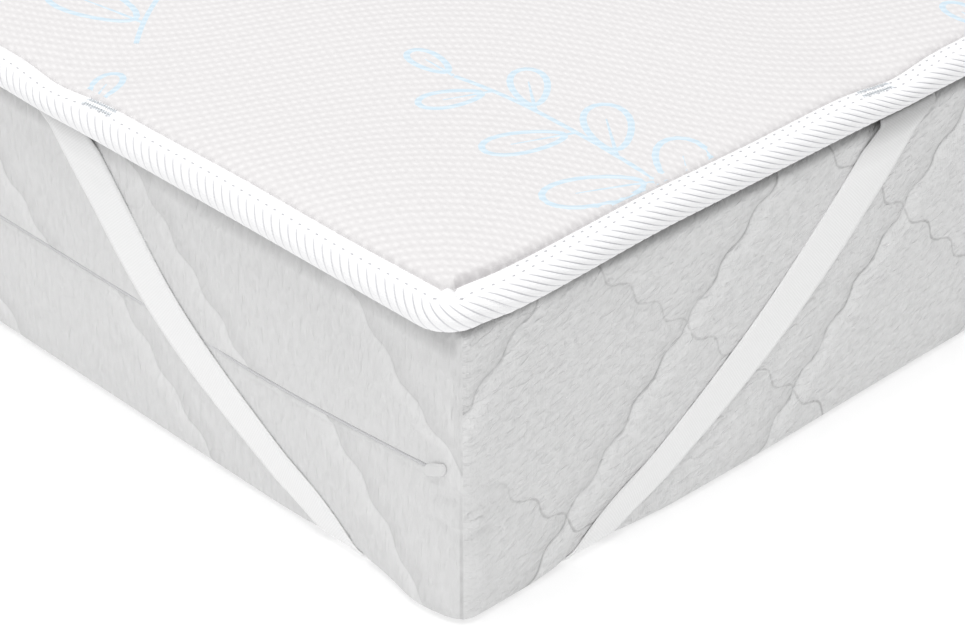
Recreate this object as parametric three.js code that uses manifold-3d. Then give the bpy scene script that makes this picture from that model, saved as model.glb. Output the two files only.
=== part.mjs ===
// A thin mattress topper held on a foam mattress by an elastic strap round each corner.
// The topper is a padded panel whose edge is bound with a folded tape. Each strap is sewn under the
// binding of one side, runs down the mattress's side, under its corner and up to the other side.
// Millimetres, +Z up. The origin is the centre of the mattress's underside, X runs across the bed
// and Y along it. The side at -X is the long side with the zip, the side at -Y is the foot end.
import * as THREE from "three";
import { mergeVertices } from "three/addons/utils/BufferGeometryUtils.js";
import Module from "manifold-3d";

// Driving dimensions: the mattress.
const MATTRESS_WIDTH = 900;
const MATTRESS_LENGTH = 2000;
const MATTRESS_HEIGHT = 160;
const CORNER_RADIUS = 11; // of the upright corners, seen from above
const TOP_EDGE_RADIUS = 9;
const BOTTOM_EDGE_RADIUS = 4;
const SIDE_BULGE = 1; // how far the middle of a side stands out past its edges
const CLEARANCE = 0.3; // between pieces that touch

// Driving dimensions: the zip in the mattress's long side.
const ZIP_HEIGHT = 71.5; // along most of the side
const ZIP_RISE = 9.5; // by which it would have risen at the corner
const ZIP_RISES_FROM = 150; // from the corner
const ZIP_STOPS = [22, 40, 60, 85, 115, 150]; // from the corner, where its line is drawn
const ZIP_WIDTH = 3;
const ZIP_THICKNESS = 1.2;
const TAB_LENGTH = 16;
const TAB_WIDTH = 8.5;
const TAB_THICKNESS = 2;
const TAB_FROM_CORNER = 8;

// Driving dimensions: the topper.
const SIDE_OVERHANG = 12; // of the binding past the mattress's long sides
const END_OVERHANG = 4; // and past its head and foot
const TOPPER_THICKNESS = 19; // in the middle of the panel
const TOPPER_CORNER_RADIUS = 20;
const LEAST_CORNER_RADIUS = 4; // where the panel's own corner is nearly square
const TAPE_THICKNESS = 1.2;
const PULL_DOWN = 3; // how far a strap draws the binding's top edge down
const PULL_OUT = 4; // and outwards
const PULL_REACH = 24; // along the edge, each way from the strap
const PULL_FADE = 70; // inwards over the panel

// Driving dimensions: the elastic straps.
const STRAP_THICKNESS = 1.2;
const STRAP_STAND_OFF = 0.5; // from the mattress's side
const STRAP_FLOOR_GAP = 0.2; // the strap lies pressed into the foam, just clear of the floor
const STRAP_EDGE_RADIUS = 6; // where it presses the mattress's bottom edge in
const STRAP_TAB = 5.5; // sewn on under the binding
const STRAP_RUN_ON = 60; // of its drawn line past the route, cut back to the tab
const STRAP_LEAVES_SIDE = 118; // height at which it parts from the mattress's side
const BED_MARGIN = 1; // of the pressed-in bed round the strap
const BED_TOP = 34; // height at which the bed has run out

// Where the middle of a strap lies: its distance from the mattress's corner at a height, on the
// long side and on the short side. It narrows where it is drawn tight round the bottom edge.
const STRAP_ROUTE = [
  { height: 158, longSide: 287, shortSide: 300, width: 30 },
  { height: 130, longSide: 262, shortSide: 273, width: 29 },
  { height: 75, longSide: 208, shortSide: 207, width: 26 },
  { height: 30, longSide: 135, shortSide: 135, width: 20 },
  { height: 8, longSide: 91, shortSide: 91, width: 17 },
];

// The outside of the folded tape, from its lip under the topper round the edge to its top lip.
const TAPE_SECTION = [
  { inward: 14.0, height: 0.0 },
  { inward: 5.5, height: 0.0 },
  { inward: 2.2, height: 1.2 },
  { inward: 0.4, height: 3.6 },
  { inward: 0.0, height: 6.8 },
  { inward: 0.9, height: 10.0 },
  { inward: 3.0, height: 12.6 },
  { inward: 6.0, height: 13.9 },
  { inward: 8.2, height: 13.8 },
  { inward: 14.6, height: 14.7 },
];

// The padded panel inside the tape's top lip, from the lip to its level middle.
const PANEL_SECTION = [
  { inward: 15.0, height: 15.5 },
  { inward: 18.0, height: 16.6 },
  { inward: 25.0, height: 17.7 },
  { inward: 38.0, height: 18.6 },
  { inward: 60.0, height: TOPPER_THICKNESS },
];

const colours = {
  mattressKnit: 0xdcdcdc,
  zip: 0xb9b9b9,
  tab: 0xd8d8d8,
  panel: 0xf4f1f2,
  tape: 0xfafafa,
  elastic: 0xeeeeee,
};

const wasm = await Module();
wasm.setup();

function material(colour, roughness) {
  return new THREE.MeshStandardMaterial({ color: colour, roughness, metalness: 0 });
}

function geometryOf(positions, triangles) {
  return new THREE.BufferGeometry()
    .setAttribute("position", new THREE.Float32BufferAttribute(positions, 3))
    .setIndex(triangles);
}

// Rings with the same number of points each, joined one to the next. With closed the last ring
// meets the first, as in a tube, and otherwise a fan caps each end.
function skin(rings, closed) {
  const count = rings[0].length;
  const positions = rings.flat().flatMap((point) => point.toArray());
  const triangles = [];
  const last = closed ? rings.length : rings.length - 1;
  for (let ring = 0; ring < last; ring++) {
    const above = ((ring + 1) % rings.length) * count;
    for (let k = 0; k < count; k++) {
      const next = (k + 1) % count;
      const corners = [ring * count + k, ring * count + next, above + k, above + next];
      triangles.push(corners[0], corners[1], corners[2], corners[1], corners[3], corners[2]);
    }
  }
  if (!closed) {
    for (const end of [0, rings.length - 1]) {
      const middle = new THREE.Vector3();
      rings[end].forEach((point) => middle.addScaledVector(point, 1 / count));
      const hub = positions.length / 3;
      positions.push(...middle.toArray());
      for (let k = 0; k < count; k++) {
        const here = end * count + k;
        const there = end * count + ((k + 1) % count);
        triangles.push(...(end === 0 ? [hub, there, here] : [hub, here, there]));
      }
    }
  }
  return geometryOf(positions, triangles);
}

// A thin solid between two grids of points of the same size: its outside and its inside.
function slab(outside, inside) {
  const rows = outside.length;
  const columns = outside[0].length;
  const positions = [...outside.flat(), ...inside.flat()].flatMap((point) => point.toArray());
  const triangles = [];
  const at = (layer, row, column) => (layer * rows + row) * columns + column;
  const quad = (a, b, c, d) => triangles.push(a, b, c, a, c, d);
  for (let r = 0; r < rows - 1; r++) {
    for (let c = 0; c < columns - 1; c++) {
      quad(at(0, r, c), at(0, r + 1, c), at(0, r + 1, c + 1), at(0, r, c + 1));
      quad(at(1, r, c), at(1, r, c + 1), at(1, r + 1, c + 1), at(1, r + 1, c));
    }
    const edge = columns - 1;
    quad(at(0, r, 0), at(1, r, 0), at(1, r + 1, 0), at(0, r + 1, 0));
    quad(at(0, r, edge), at(0, r + 1, edge), at(1, r + 1, edge), at(1, r, edge));
  }
  for (let c = 0; c < columns - 1; c++) {
    const end = rows - 1;
    quad(at(0, 0, c), at(0, 0, c + 1), at(1, 0, c + 1), at(1, 0, c));
    quad(at(0, end, c), at(1, end, c), at(1, end, c + 1), at(0, end, c + 1));
  }
  return geometryOf(positions, triangles);
}

function solidOf(geometry) {
  const bare = geometry.clone();
  bare.deleteAttribute("normal");
  bare.deleteAttribute("uv");
  const merged = mergeVertices(bare, 1e-3);
  const made = new wasm.Manifold(
    new wasm.Mesh({
      numProp: 3,
      vertProperties: merged.attributes.position.array,
      triVerts: new Uint32Array(merged.index.array),
    }),
  );
  return made;
}

function geometryOfSolid(solid) {
  const { vertProperties, triVerts, numProp, numVert } = solid.getMesh();
  const positions = [];
  for (let i = 0; i < numVert; i++) {
    positions.push(...vertProperties.subarray(i * numProp, i * numProp + 3));
  }
  return geometryOf(positions, Array.from(triVerts));
}

// Stations round a rectangle with rounded corners, anticlockwise from above. A station is on a
// corner, at an angle, or on a side, at a distance from that side's middle.
const SIDES = [
  { outward: new THREE.Vector2(0, -1), along: new THREE.Vector2(1, 0), long: false },
  { outward: new THREE.Vector2(1, 0), along: new THREE.Vector2(0, 1), long: true },
  { outward: new THREE.Vector2(0, 1), along: new THREE.Vector2(-1, 0), long: false },
  { outward: new THREE.Vector2(-1, 0), along: new THREE.Vector2(0, -1), long: true },
];

function stations(cornerSteps, sideStops) {
  return SIDES.flatMap((side) => {
    const onSide = sideStops(side).map((distance) => ({ side, distance }));
    const onCorner = [];
    for (let step = 0; step <= cornerSteps; step++) {
      onCorner.push({ side, turn: ((step / cornerSteps) * Math.PI) / 2 });
    }
    return [...onSide, ...onCorner];
  });
}

// The point of a station on the rectangle drawn in by inward from the full half sizes.
function stationPoint(station, halfWidth, halfLength, radius, inward, height) {
  const { side, distance, turn } = station;
  const reach = (side.long ? halfWidth : halfLength) - inward;
  const half = (side.long ? halfLength : halfWidth) - inward;
  const point = new THREE.Vector2();
  if (turn === undefined) {
    point.addScaledVector(side.outward, reach).addScaledVector(side.along, distance);
  } else {
    const corner = Math.max(radius - inward, LEAST_CORNER_RADIUS);
    point.addScaledVector(side.outward, reach - corner + corner * Math.cos(turn));
    point.addScaledVector(side.along, half - corner + corner * Math.sin(turn));
  }
  return new THREE.Vector3(point.x, point.y, height);
}

// The mattress's side section: how far in its surface lies at a height.
function bulgeInset(height) {
  const middle = MATTRESS_HEIGHT / 2;
  return SIDE_BULGE * ((height - middle) / middle) ** 2;
}

// The quarter round of an edge, from the flat face to the side: how far in a point lies, and how
// far from the face.
function edgeRound(radius) {
  const steps = 4;
  const points = [];
  for (let step = 0; step <= steps; step++) {
    const angle = ((step / steps) * Math.PI) / 2;
    points.push({
      inward: bulgeInset(radius) + radius * (1 - Math.sin(angle)),
      fromFace: radius * (1 - Math.cos(angle)),
    });
  }
  return points;
}

function mattressSection() {
  const lower = edgeRound(BOTTOM_EDGE_RADIUS).map(({ inward, fromFace }) => ({
    inward,
    height: fromFace,
  }));
  const heights = [0.3, 0.5, 0.7].map((share) => share * MATTRESS_HEIGHT);
  const middle = heights.map((height) => ({ inward: bulgeInset(height), height }));
  const upper = edgeRound(TOP_EDGE_RADIUS).map(({ inward, fromFace }) => ({
    inward,
    height: MATTRESS_HEIGHT - fromFace,
  }));
  return [...lower, ...middle, ...upper.reverse()];
}

function mattressBlock() {
  const round = stations(5, () => []);
  const rings = mattressSection().map(({ inward, height }) =>
    round.map((station) =>
      stationPoint(station, MATTRESS_WIDTH / 2, MATTRESS_LENGTH / 2, CORNER_RADIUS, inward, height),
    ),
  );
  return skin(rings, false);
}

// A strap's profile across the mattress's bottom edge, in its own middle plane: out is the
// distance past the mattress's side, and run is the length along the profile, from where the
// strap leaves the flat underside.
function strapProfile() {
  const level = STRAP_FLOOR_GAP + STRAP_THICKNESS / 2;
  const sideOut = (height) => STRAP_STAND_OFF + STRAP_THICKNESS / 2 - bulgeInset(height);
  const topperUnderside = MATTRESS_HEIGHT + CLEARANCE;
  const tabHeight = topperUnderside - CLEARANCE - STRAP_THICKNESS / 2;
  const bend = 2.2;
  const bendOut = 0.4;
  const foot = level + STRAP_EDGE_RADIUS;
  const centre = sideOut(foot) - STRAP_EDGE_RADIUS;
  const points = [];
  const edgeSteps = 6;
  for (let step = 0; step <= edgeSteps; step++) {
    const angle = ((step / edgeSteps) * Math.PI) / 2;
    points.push({
      out: centre + STRAP_EDGE_RADIUS * Math.sin(angle),
      height: foot - STRAP_EDGE_RADIUS * Math.cos(angle),
    });
  }
  for (const height of [45, 75, 100, STRAP_LEAVES_SIDE]) {
    points.push({ out: sideOut(height), height });
  }
  const bendSteps = 3;
  for (let step = 0; step <= bendSteps; step++) {
    const angle = ((step / bendSteps) * Math.PI) / 2;
    points.push({
      out: bendOut + bend * Math.cos(angle),
      height: tabHeight - bend + bend * Math.sin(angle),
    });
  }
  points.push({ out: bendOut - STRAP_TAB, height: tabHeight });
  let run = 0;
  points.forEach((point, i) => {
    if (i > 0) {
      run += Math.hypot(point.out - points[i - 1].out, point.height - points[i - 1].height);
    }
    point.run = run;
  });
  return { points, start: -points[0].out, level };
}

const profile = strapProfile();

// The place on the profile at a run, with its normal pointing away from the mattress. A point
// on a bend takes the mean of its neighbours' normals.
function onProfile(run) {
  const { points, level } = profile;
  if (run <= 0) {
    return { out: points[0].out - run, height: level, normal: new THREE.Vector2(0, -1) };
  }
  const last = points.length - 1;
  let i = 1;
  while (i < last && run > points[i].run) {
    i += 1;
  }
  const share = (run - points[i - 1].run) / (points[i].run - points[i - 1].run);
  const normalOf = (k) => {
    const from = points[Math.max(k - 1, 0)];
    const to = points[Math.min(k + 1, last)];
    const tangent = new THREE.Vector2(to.out - from.out, to.height - from.height);
    return new THREE.Vector2(tangent.y, -tangent.x).normalize();
  };
  return {
    out: THREE.MathUtils.lerp(points[i - 1].out, points[i].out, share),
    height: THREE.MathUtils.lerp(points[i - 1].height, points[i].height, share),
    normal: normalOf(i - 1).lerp(normalOf(i), share).normalize(),
  };
}

function runAtHeight(height) {
  const { points } = profile;
  const i = points.findIndex((point) => point.height >= height);
  const share = (height - points[i - 1].height) / (points[i].height - points[i - 1].height);
  return THREE.MathUtils.lerp(points[i - 1].run, points[i].run, share);
}

// The strap unrolled flat: x and y are distances from the mattress's long and short side on its
// underside, and run on past the bottom edges up the two sides. z is the strap's width.
function strapCentreLine() {
  const unrolled = (height) => profile.start - runAtHeight(height);
  const longSide = STRAP_ROUTE.map(
    (row) => new THREE.Vector3(unrolled(row.height), row.longSide, row.width),
  );
  const shortSide = STRAP_ROUTE.map(
    (row) => new THREE.Vector3(row.shortSide, unrolled(row.height), row.width),
  ).reverse();
  const before = longSide[0].clone().sub(longSide[1]).setLength(STRAP_RUN_ON);
  const after = shortSide.at(-1).clone().sub(shortSide.at(-2)).setLength(STRAP_RUN_ON);
  return new THREE.CatmullRomCurve3([
    longSide[0].clone().add(before),
    ...longSide,
    ...shortSide,
    shortSide.at(-1).clone().add(after),
  ]);
}

function strapEdges(margin) {
  const line = strapCentreLine();
  const steps = 240;
  const edges = { left: [], right: [] };
  for (let step = 0; step <= steps; step++) {
    const point = line.getPoint(step / steps);
    const tangent = line.getTangent(step / steps);
    const across = new THREE.Vector3(-tangent.y, tangent.x, 0).normalize();
    const half = point.z / 2 + margin;
    edges.left.push(point.clone().addScaledVector(across, half));
    edges.right.push(point.clone().addScaledVector(across, -half));
  }
  return edges;
}

// Where an edge line of the unrolled strap first reaches a value of x or y, as a fractional step.
function crossing(edge, axis, value) {
  for (let i = 1; i < edge.length; i++) {
    const from = edge[i - 1][axis];
    const to = edge[i][axis];
    if ((from - value) * (to - value) <= 0 && from !== to) {
      return i - 1 + (value - from) / (to - from);
    }
  }
  throw new Error("the strap's edge never reaches " + axis + " = " + value);
}

function pointAt(edge, step) {
  const i = Math.min(Math.floor(step), edge.length - 2);
  return edge[i].clone().lerp(edge[i + 1], step - i);
}

// The strap's rows, each across its width: parallel to the long side's edge as far as it climbs
// that side, then swinging round on the underside, then parallel to the short side's edge.
function strapRows(margin, topRun) {
  const edges = strapEdges(margin);
  const runs = profile.points.map((point) => point.run).filter((run) => run < topRun);
  runs.push(topRun);
  const rowAt = (axis, run) => ["left", "right"].map(
    (name) => crossing(edges[name], axis, profile.start - run),
  );
  const climb = runs.map((run) => rowAt("x", run)).reverse();
  const descent = runs.map((run) => rowAt("y", run));
  const underSteps = 5;
  const from = climb[climb.length - 1];
  const to = descent[0];
  const under = [];
  for (let step = 1; step < underSteps; step++) {
    under.push(from.map((start, k) => THREE.MathUtils.lerp(start, to[k], step / underSteps)));
  }
  const columns = 2;
  return [...climb, ...under, ...descent].map(([left, right]) => {
    const a = pointAt(edges.left, left);
    const b = pointAt(edges.right, right);
    const row = [];
    for (let c = 0; c <= columns; c++) {
      row.push(a.clone().lerp(b, c / columns));
    }
    return row;
  });
}

// A point of the unrolled strap in space, offset away from the mattress, for the corner whose
// signs of X and Y are given.
function rolledPoint(flat, offset, corner) {
  const climbsLong = profile.start - flat.x;
  const climbsShort = profile.start - flat.y;
  let fromLong = flat.x;
  let fromShort = flat.y;
  const place = onProfile(Math.max(climbsLong, climbsShort, 0));
  const height = place.height + place.normal.y * offset;
  const out = place.out + place.normal.x * offset;
  if (climbsLong > 0 && climbsLong >= climbsShort) {
    fromLong = -out;
  } else if (climbsShort > 0) {
    fromShort = -out;
  }
  return new THREE.Vector3(
    corner.x * (MATTRESS_WIDTH / 2 - fromLong),
    corner.y * (MATTRESS_LENGTH / 2 - fromShort),
    height,
  );
}

function strapSolid(corner, margin, topRun, innerOffset, outerOffset) {
  const rows = strapRows(margin, topRun);
  const layer = (offset) => rows.map((row) => row.map((flat) => rolledPoint(flat, offset, corner)));
  const mirrored = corner.x * corner.y < 0;
  return mirrored
    ? slab(layer(innerOffset), layer(outerOffset))
    : slab(layer(outerOffset), layer(innerOffset));
}

const CORNERS = [
  { name: "front_left", x: -1, y: -1 },
  { name: "front_right", x: 1, y: -1 },
  { name: "back_right", x: 1, y: 1 },
  { name: "back_left", x: -1, y: 1 },
];

function strap(corner) {
  const endRun = profile.points[profile.points.length - 1].run;
  const half = STRAP_THICKNESS / 2;
  return strapSolid(corner, 0, endRun, -half, half);
}

// The foam that a strap presses in: from just inside the strap to well outside it.
function strapBed(corner) {
  const half = STRAP_THICKNESS / 2;
  return strapSolid(corner, BED_MARGIN, runAtHeight(BED_TOP), -half - CLEARANCE, STRAP_EDGE_RADIUS / 2);
}

// The height of the zip's middle, which rises towards the mattress's corners.
function zipHeight(fromCorner) {
  const share = Math.max(1 - fromCorner / ZIP_RISES_FROM, 0);
  return ZIP_HEIGHT + ZIP_RISE * share ** 1.5;
}

// A strip along the zip, margin larger all round, between two distances from the mattress's side.
function zipStrip(margin, outside, inside) {
  const half = ZIP_WIDTH / 2 + margin;
  const stops = ZIP_STOPS.map((stop) => stop - MATTRESS_LENGTH / 2);
  stops[0] -= margin;
  const places = [...stops, ...stops.map((stop) => -stop).reverse()];
  const corners = [
    { inward: inside, up: -half },
    { inward: outside, up: -half },
    { inward: outside, up: half },
    { inward: inside, up: half },
  ];
  const ringAt = (y) =>
    corners.map(({ inward, up }) => {
      const height = zipHeight(MATTRESS_LENGTH / 2 - Math.abs(y)) + up;
      return new THREE.Vector3(-MATTRESS_WIDTH / 2 + inward, y, height);
    });
  return skin(places.map(ringAt), false);
}

function zipGroove() {
  const depth = ZIP_THICKNESS + 2 * CLEARANCE;
  return zipStrip(CLEARANCE, -depth, depth);
}

function mattress() {
  let solid = solidOf(mattressBlock());
  for (const corner of CORNERS) {
    solid = solid.subtract(solidOf(strapBed(corner)));
  }
  return geometryOfSolid(solid.subtract(solidOf(zipGroove())));
}

function zip() {
  return zipStrip(0, CLEARANCE, CLEARANCE + ZIP_THICKNESS);
}

// The rounded tab over the zip's end, drawn flat and stood up against the side, from which it runs
// towards the corner.
function zipTab() {
  const half = TAB_WIDTH / 2;
  const straight = TAB_LENGTH - TAB_WIDTH;
  const outline = new THREE.Shape();
  outline.moveTo(0, -half);
  outline.lineTo(straight, -half);
  outline.absarc(straight, 0, half, -Math.PI / 2, Math.PI / 2, false);
  outline.lineTo(0, half);
  outline.absarc(0, 0, half, Math.PI / 2, (3 * Math.PI) / 2, false);
  const tab = new THREE.ExtrudeGeometry(outline, {
    depth: TAB_THICKNESS,
    bevelEnabled: false,
    curveSegments: 8,
  });
  const out = -MATTRESS_WIDTH / 2 - CLEARANCE;
  const along = -MATTRESS_LENGTH / 2 + TAB_FROM_CORNER + TAB_LENGTH - half;
  const height = zipHeight(TAB_FROM_CORNER + TAB_LENGTH / 2);
  return tab.rotateY(-Math.PI / 2).rotateX(Math.PI / 2).translate(out, along, height);
}

// The topper's stations: round its corners, and closer together where the straps draw it down.
function topperStations() {
  const nearStrap = [-2, -1, 0, 1, 2].map((step) => step * PULL_REACH);
  const between = { long: [-500, -250, 0, 250, 500], short: [0] };
  return stations(5, (side) => {
    const half = (side.long ? MATTRESS_LENGTH : MATTRESS_WIDTH) / 2;
    const attached = half - (side.long ? STRAP_ROUTE[0].longSide : STRAP_ROUTE[0].shortSide);
    return [
      ...nearStrap.map((offset) => offset - attached),
      ...(side.long ? between.long : between.short),
      ...nearStrap.map((offset) => offset + attached),
    ].filter((stop, i, stops) => i === 0 || stop > stops[i - 1]);
  });
}

// How strongly the straps pull at a station, from 0 to 1.
function pull(station) {
  if (station.turn !== undefined) {
    return 0;
  }
  const half = (station.side.long ? MATTRESS_LENGTH : MATTRESS_WIDTH) / 2;
  const attached = station.side.long ? STRAP_ROUTE[0].longSide : STRAP_ROUTE[0].shortSide;
  const offset = (Math.abs(station.distance) - (half - attached)) / PULL_REACH;
  return Math.exp(-offset * offset);
}

// A ring of the topper: the upper part leans out and down where a strap pulls, less so inwards.
function topperRing(round, inward, height) {
  const halfWidth = MATTRESS_WIDTH / 2 + SIDE_OVERHANG;
  const halfLength = MATTRESS_LENGTH / 2 + END_OVERHANG;
  const base = MATTRESS_HEIGHT + CLEARANCE;
  return round.map((station) => {
    const lean = pull(station) * (height / TOPPER_THICKNESS) * Math.exp(-inward / PULL_FADE);
    return stationPoint(
      station,
      halfWidth,
      halfLength,
      TOPPER_CORNER_RADIUS,
      inward - PULL_OUT * lean,
      base + height - PULL_DOWN * lean,
    );
  });
}

// The section moved inwards from the tape's outside by a distance, square to its own line.
function insideOf(section, distance) {
  return section.map((point, i) => {
    const from = section[Math.max(i - 1, 0)];
    const to = section[Math.min(i + 1, section.length - 1)];
    const tangent = new THREE.Vector2(to.inward - from.inward, to.height - from.height);
    tangent.normalize();
    return {
      inward: point.inward + tangent.y * distance,
      height: point.height - tangent.x * distance,
    };
  });
}

function binding() {
  const round = topperStations();
  const inside = insideOf(TAPE_SECTION, TAPE_THICKNESS).reverse();
  const section = [...TAPE_SECTION, ...inside];
  return skin(section.map(({ inward, height }) => topperRing(round, inward, height)), true);
}

function pad() {
  const round = topperStations();
  const lipEnd = TAPE_SECTION[0].inward + CLEARANCE;
  const filled = insideOf(TAPE_SECTION, TAPE_THICKNESS + CLEARANCE);
  const section = [
    { inward: PANEL_SECTION[PANEL_SECTION.length - 1].inward, height: 0 },
    { inward: lipEnd + CLEARANCE, height: 0 },
    ...filled,
    ...PANEL_SECTION,
  ];
  return skin(section.map(({ inward, height }) => topperRing(round, inward, height)), false);
}

function piece(name, geometry, finish) {
  const mesh = new THREE.Mesh(geometry, finish);
  mesh.name = name;
  return mesh;
}

const bed = new THREE.Group();
bed.name = "topper_on_mattress";

const mattressGroup = new THREE.Group();
mattressGroup.add(
  piece("mattress", mattress(), material(colours.mattressKnit, 0.9)),
  piece("mattress_zip", zip(), material(colours.zip, 0.6)),
  piece("mattress_zip_tab", zipTab(), material(colours.tab, 0.7)),
);

const topperGroup = new THREE.Group();
topperGroup.add(
  piece("topper_pad", pad(), material(colours.panel, 0.9)),
  piece("edge_binding", binding(), material(colours.tape, 0.85)),
);
for (const corner of CORNERS) {
  topperGroup.add(
    piece("corner_strap_" + corner.name, strap(corner), material(colours.elastic, 0.8)),
  );
}

bed.add(mattressGroup, topperGroup);

export default bed;
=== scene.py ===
"""A mattress topper on its mattress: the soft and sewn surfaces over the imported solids.

Lengths are millimetres, but for the panel's settings and the places of the lights and the camera, which
are metres. +Z is up and +Y along the bed, and the origin lies in the middle of the mattress's underside.
The side at -X holds the zip, and the side at -Y is the foot end.
"""

import math

import bmesh
import bpy
import numpy as np
from bpy.props import FloatProperty, FloatVectorProperty, PointerProperty
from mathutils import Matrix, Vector
from mathutils.geometry import delaunay_2d_cdt


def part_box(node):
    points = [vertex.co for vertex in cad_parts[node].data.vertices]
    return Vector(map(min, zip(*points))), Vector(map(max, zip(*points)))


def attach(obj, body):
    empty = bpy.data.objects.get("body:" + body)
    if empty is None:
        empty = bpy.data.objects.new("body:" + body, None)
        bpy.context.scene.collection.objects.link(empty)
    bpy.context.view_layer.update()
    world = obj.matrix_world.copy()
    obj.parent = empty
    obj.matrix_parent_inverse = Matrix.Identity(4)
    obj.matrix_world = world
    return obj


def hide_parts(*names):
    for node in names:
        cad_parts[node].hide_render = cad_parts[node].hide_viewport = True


bl_info = {
    "name": "Mattress topper",
    "version": (1, 0, 0),
    "blender": (4, 5, 0),
    "location": "View3D > Sidebar > Topper",
    "description": "Builds a mattress topper with corner straps on its mattress",
    "category": "Object",
}

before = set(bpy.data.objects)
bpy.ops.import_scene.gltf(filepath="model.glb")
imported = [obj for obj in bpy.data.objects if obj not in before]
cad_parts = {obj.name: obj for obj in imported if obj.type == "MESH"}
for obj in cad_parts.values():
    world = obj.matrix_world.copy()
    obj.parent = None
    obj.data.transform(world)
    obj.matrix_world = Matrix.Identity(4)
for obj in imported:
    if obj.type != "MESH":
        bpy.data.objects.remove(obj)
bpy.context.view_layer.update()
MM = 0.001

# The mattress's own sizes come from its solid.
HALF_WIDTH, HALF_LENGTH, HEIGHT = (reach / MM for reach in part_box("mattress")[1])
CORNER_RADIUS = 11.0
TOP_EDGE_RADIUS = 9.0
BOTTOM_EDGE_RADIUS = 4.0
SIDE_BULGE = 1.0
CLEARANCE = 0.3

# The topper's rim, and how a strap draws it down and outwards.
SIDE_OVERHANG = 12.0
END_OVERHANG = 4.0
TOPPER_RADIUS = 20.0
TOPPER_THICKNESS = 19.0
LEAST_RADIUS = 4.0
PULL_DOWN = 3.0
PULL_OUT = 4.0
PULL_REACH = 24.0
PULL_FADE = 70.0

# The straps.
STRAP_THICKNESS = 1.2
STRAP_STAND_OFF = 0.5
STRAP_FLOOR_GAP = 0.2
STRAP_EDGE_RADIUS = 6.0
STRAP_TAB = 5.5
STRAP_BEND = 2.2  # the radius of its bend from the side to the top
STRAP_BEND_OUT = 0.4
STRAP_COLUMNS = 13
STRAP_RUN_ON = 60.0
STRAP_LEAVES_SIDE = 118.0
BED_TOP = 34.0
# Height, distance from the corner on the long side, and on the short side, and the width there.
STRAP_ROUTE = (
    (158, 287, 300, 30),
    (130, 262, 273, 29),
    (75, 208, 207, 26),
    (30, 135, 135, 20),
    (8, 91, 91, 17),
)
CORNERS = (
    ("front_left", -1, -1),
    ("front_right", 1, -1),
    ("back_right", 1, 1),
    ("back_left", -1, 1),
)

# The zip.
ZIP_HEIGHT = 71.5
ZIP_RISE = 9.5
ZIP_RISES_FROM = 150.0
ZIP_FROM_CORNER = 22.0
ZIP_SIDE = 3  # of SIDES
COIL_PITCH, COIL_WIDTH, COIL_RADIUS = 1.2, 2.2, 0.8
# The tab from its back to its face: a share of its size, and how far out.
TAB_SECTION = (
    (0.2, 0.0),
    (0.96, 0.0),
    (1.0, 0.5),
    (0.97, 1.3),
    (0.88, 1.9),
    (0.7, 2.3),
    (0.4, 2.5),
    (0.1, 2.55),
)
TAB_COLUMNS = 48
TAB_LIFT = 1.2
TAB_TILT = 0.45  # its free end, by the corner, stands higher

# The folded tape's outside: inward and height, from the lip under the topper to the top lip.
TAPE_SECTION = (
    (13.6, 0.0),
    (9.5, 0.0),
    (5.5, 0.0),
    (2.2, 1.2),
    (0.4, 3.6),
    (0.0, 6.8),
    (0.9, 10.0),
    (3.0, 12.6),
    (6.0, 13.9),
    (8.2, 13.8),
    (11.0, 14.4),
    (14.2, 14.8),
    (14.9, 14.3),
)
# The tape's inside, from the lip on top to the lip below.
TAPE_INSIDE = (
    (14.5, 13.4),
    (8.2, 12.7),
    (3.6, 11.0),
    (1.9, 6.8),
    (4.2, 1.6),
    (13.6, 0.9),
)
# At a corner, by its turn: where the tape is raised or nicked, how wide and how high.
TAPE_MITRE = (
    (math.pi / 4, 0.34, 1.5),
    (0.22, 0.13, -1.1),
    (math.pi / 2 - 0.22, 0.13, -1.1),
)
RIB_COLUMNS = (0, 0.14, 0.5, 0.86)  # shares of a rib

# The panel under the tape: inward and height.
PANEL_HIDDEN = (
    (60, 0.2),
    (30, 0.2),
    (14.6, 0.2),
    (9.5, 1.5),
    (4.4, 3.0),
    (2.5, 7.0),
    (4.6, 10.9),
    (8.2, 12.2),
    (12.9, 12.6),
)
# The panel inside the tape's lip: inward, height in the middle of a side, height at a corner.
PANEL_SECTION = (
    (13.4, 12.8, 12.8),
    (14.6, 14.3, 14.3),
    (15.0, 15.3, 16.6),
    (15.9, 16.1, 18.1),
    (17.6, 16.8, 18.7),
    (21.0, 17.4, 18.9),
    (28.0, 17.9, 19.0),
    (38.0, 18.4, 19.0),
    (60.0, 19.0, 19.0),
)

# Quilting: the diamond's width and height, and where a crossing lies from the corner and floor.
DIAMOND_WIDTH = 160.0
DIAMOND_HEIGHT = 146.0
CROSSING_ALONG = 65.0
CROSSING_UP = 27.0
DIAMOND_SPREAD = 1 / math.hypot(1 / DIAMOND_WIDTH, 1 / DIAMOND_HEIGHT)  # between its parallel sides
WAVE_SHARES = (0.016, 0.024)  # of a diamond, by which the rising and the falling sewn lines wave
WAVES = 4  # along each side of a diamond
WAVE_START = -0.9

# The cover. Its folds by a corner: height at the seam, slope, width and depth.
CORNER_FOLDS = (
    (47, 0.12, 2.6, 2.2),
    (54, 0.3, 3.4, -1.8),
    (64, -0.35, 2.4, 1.6),
    (36, 0.5, 2.4, 1.2),
)
COVER_COLUMNS = 1480
PANEL_COLUMNS = 1180

# The knit's rows of grains, and the slow waves that they run in.
ROW_PITCH, GRAIN_PITCH = 6.0, 4.0
WAVE_LENGTH, WAVE_HEIGHT = 330.0, 22.0

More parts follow.
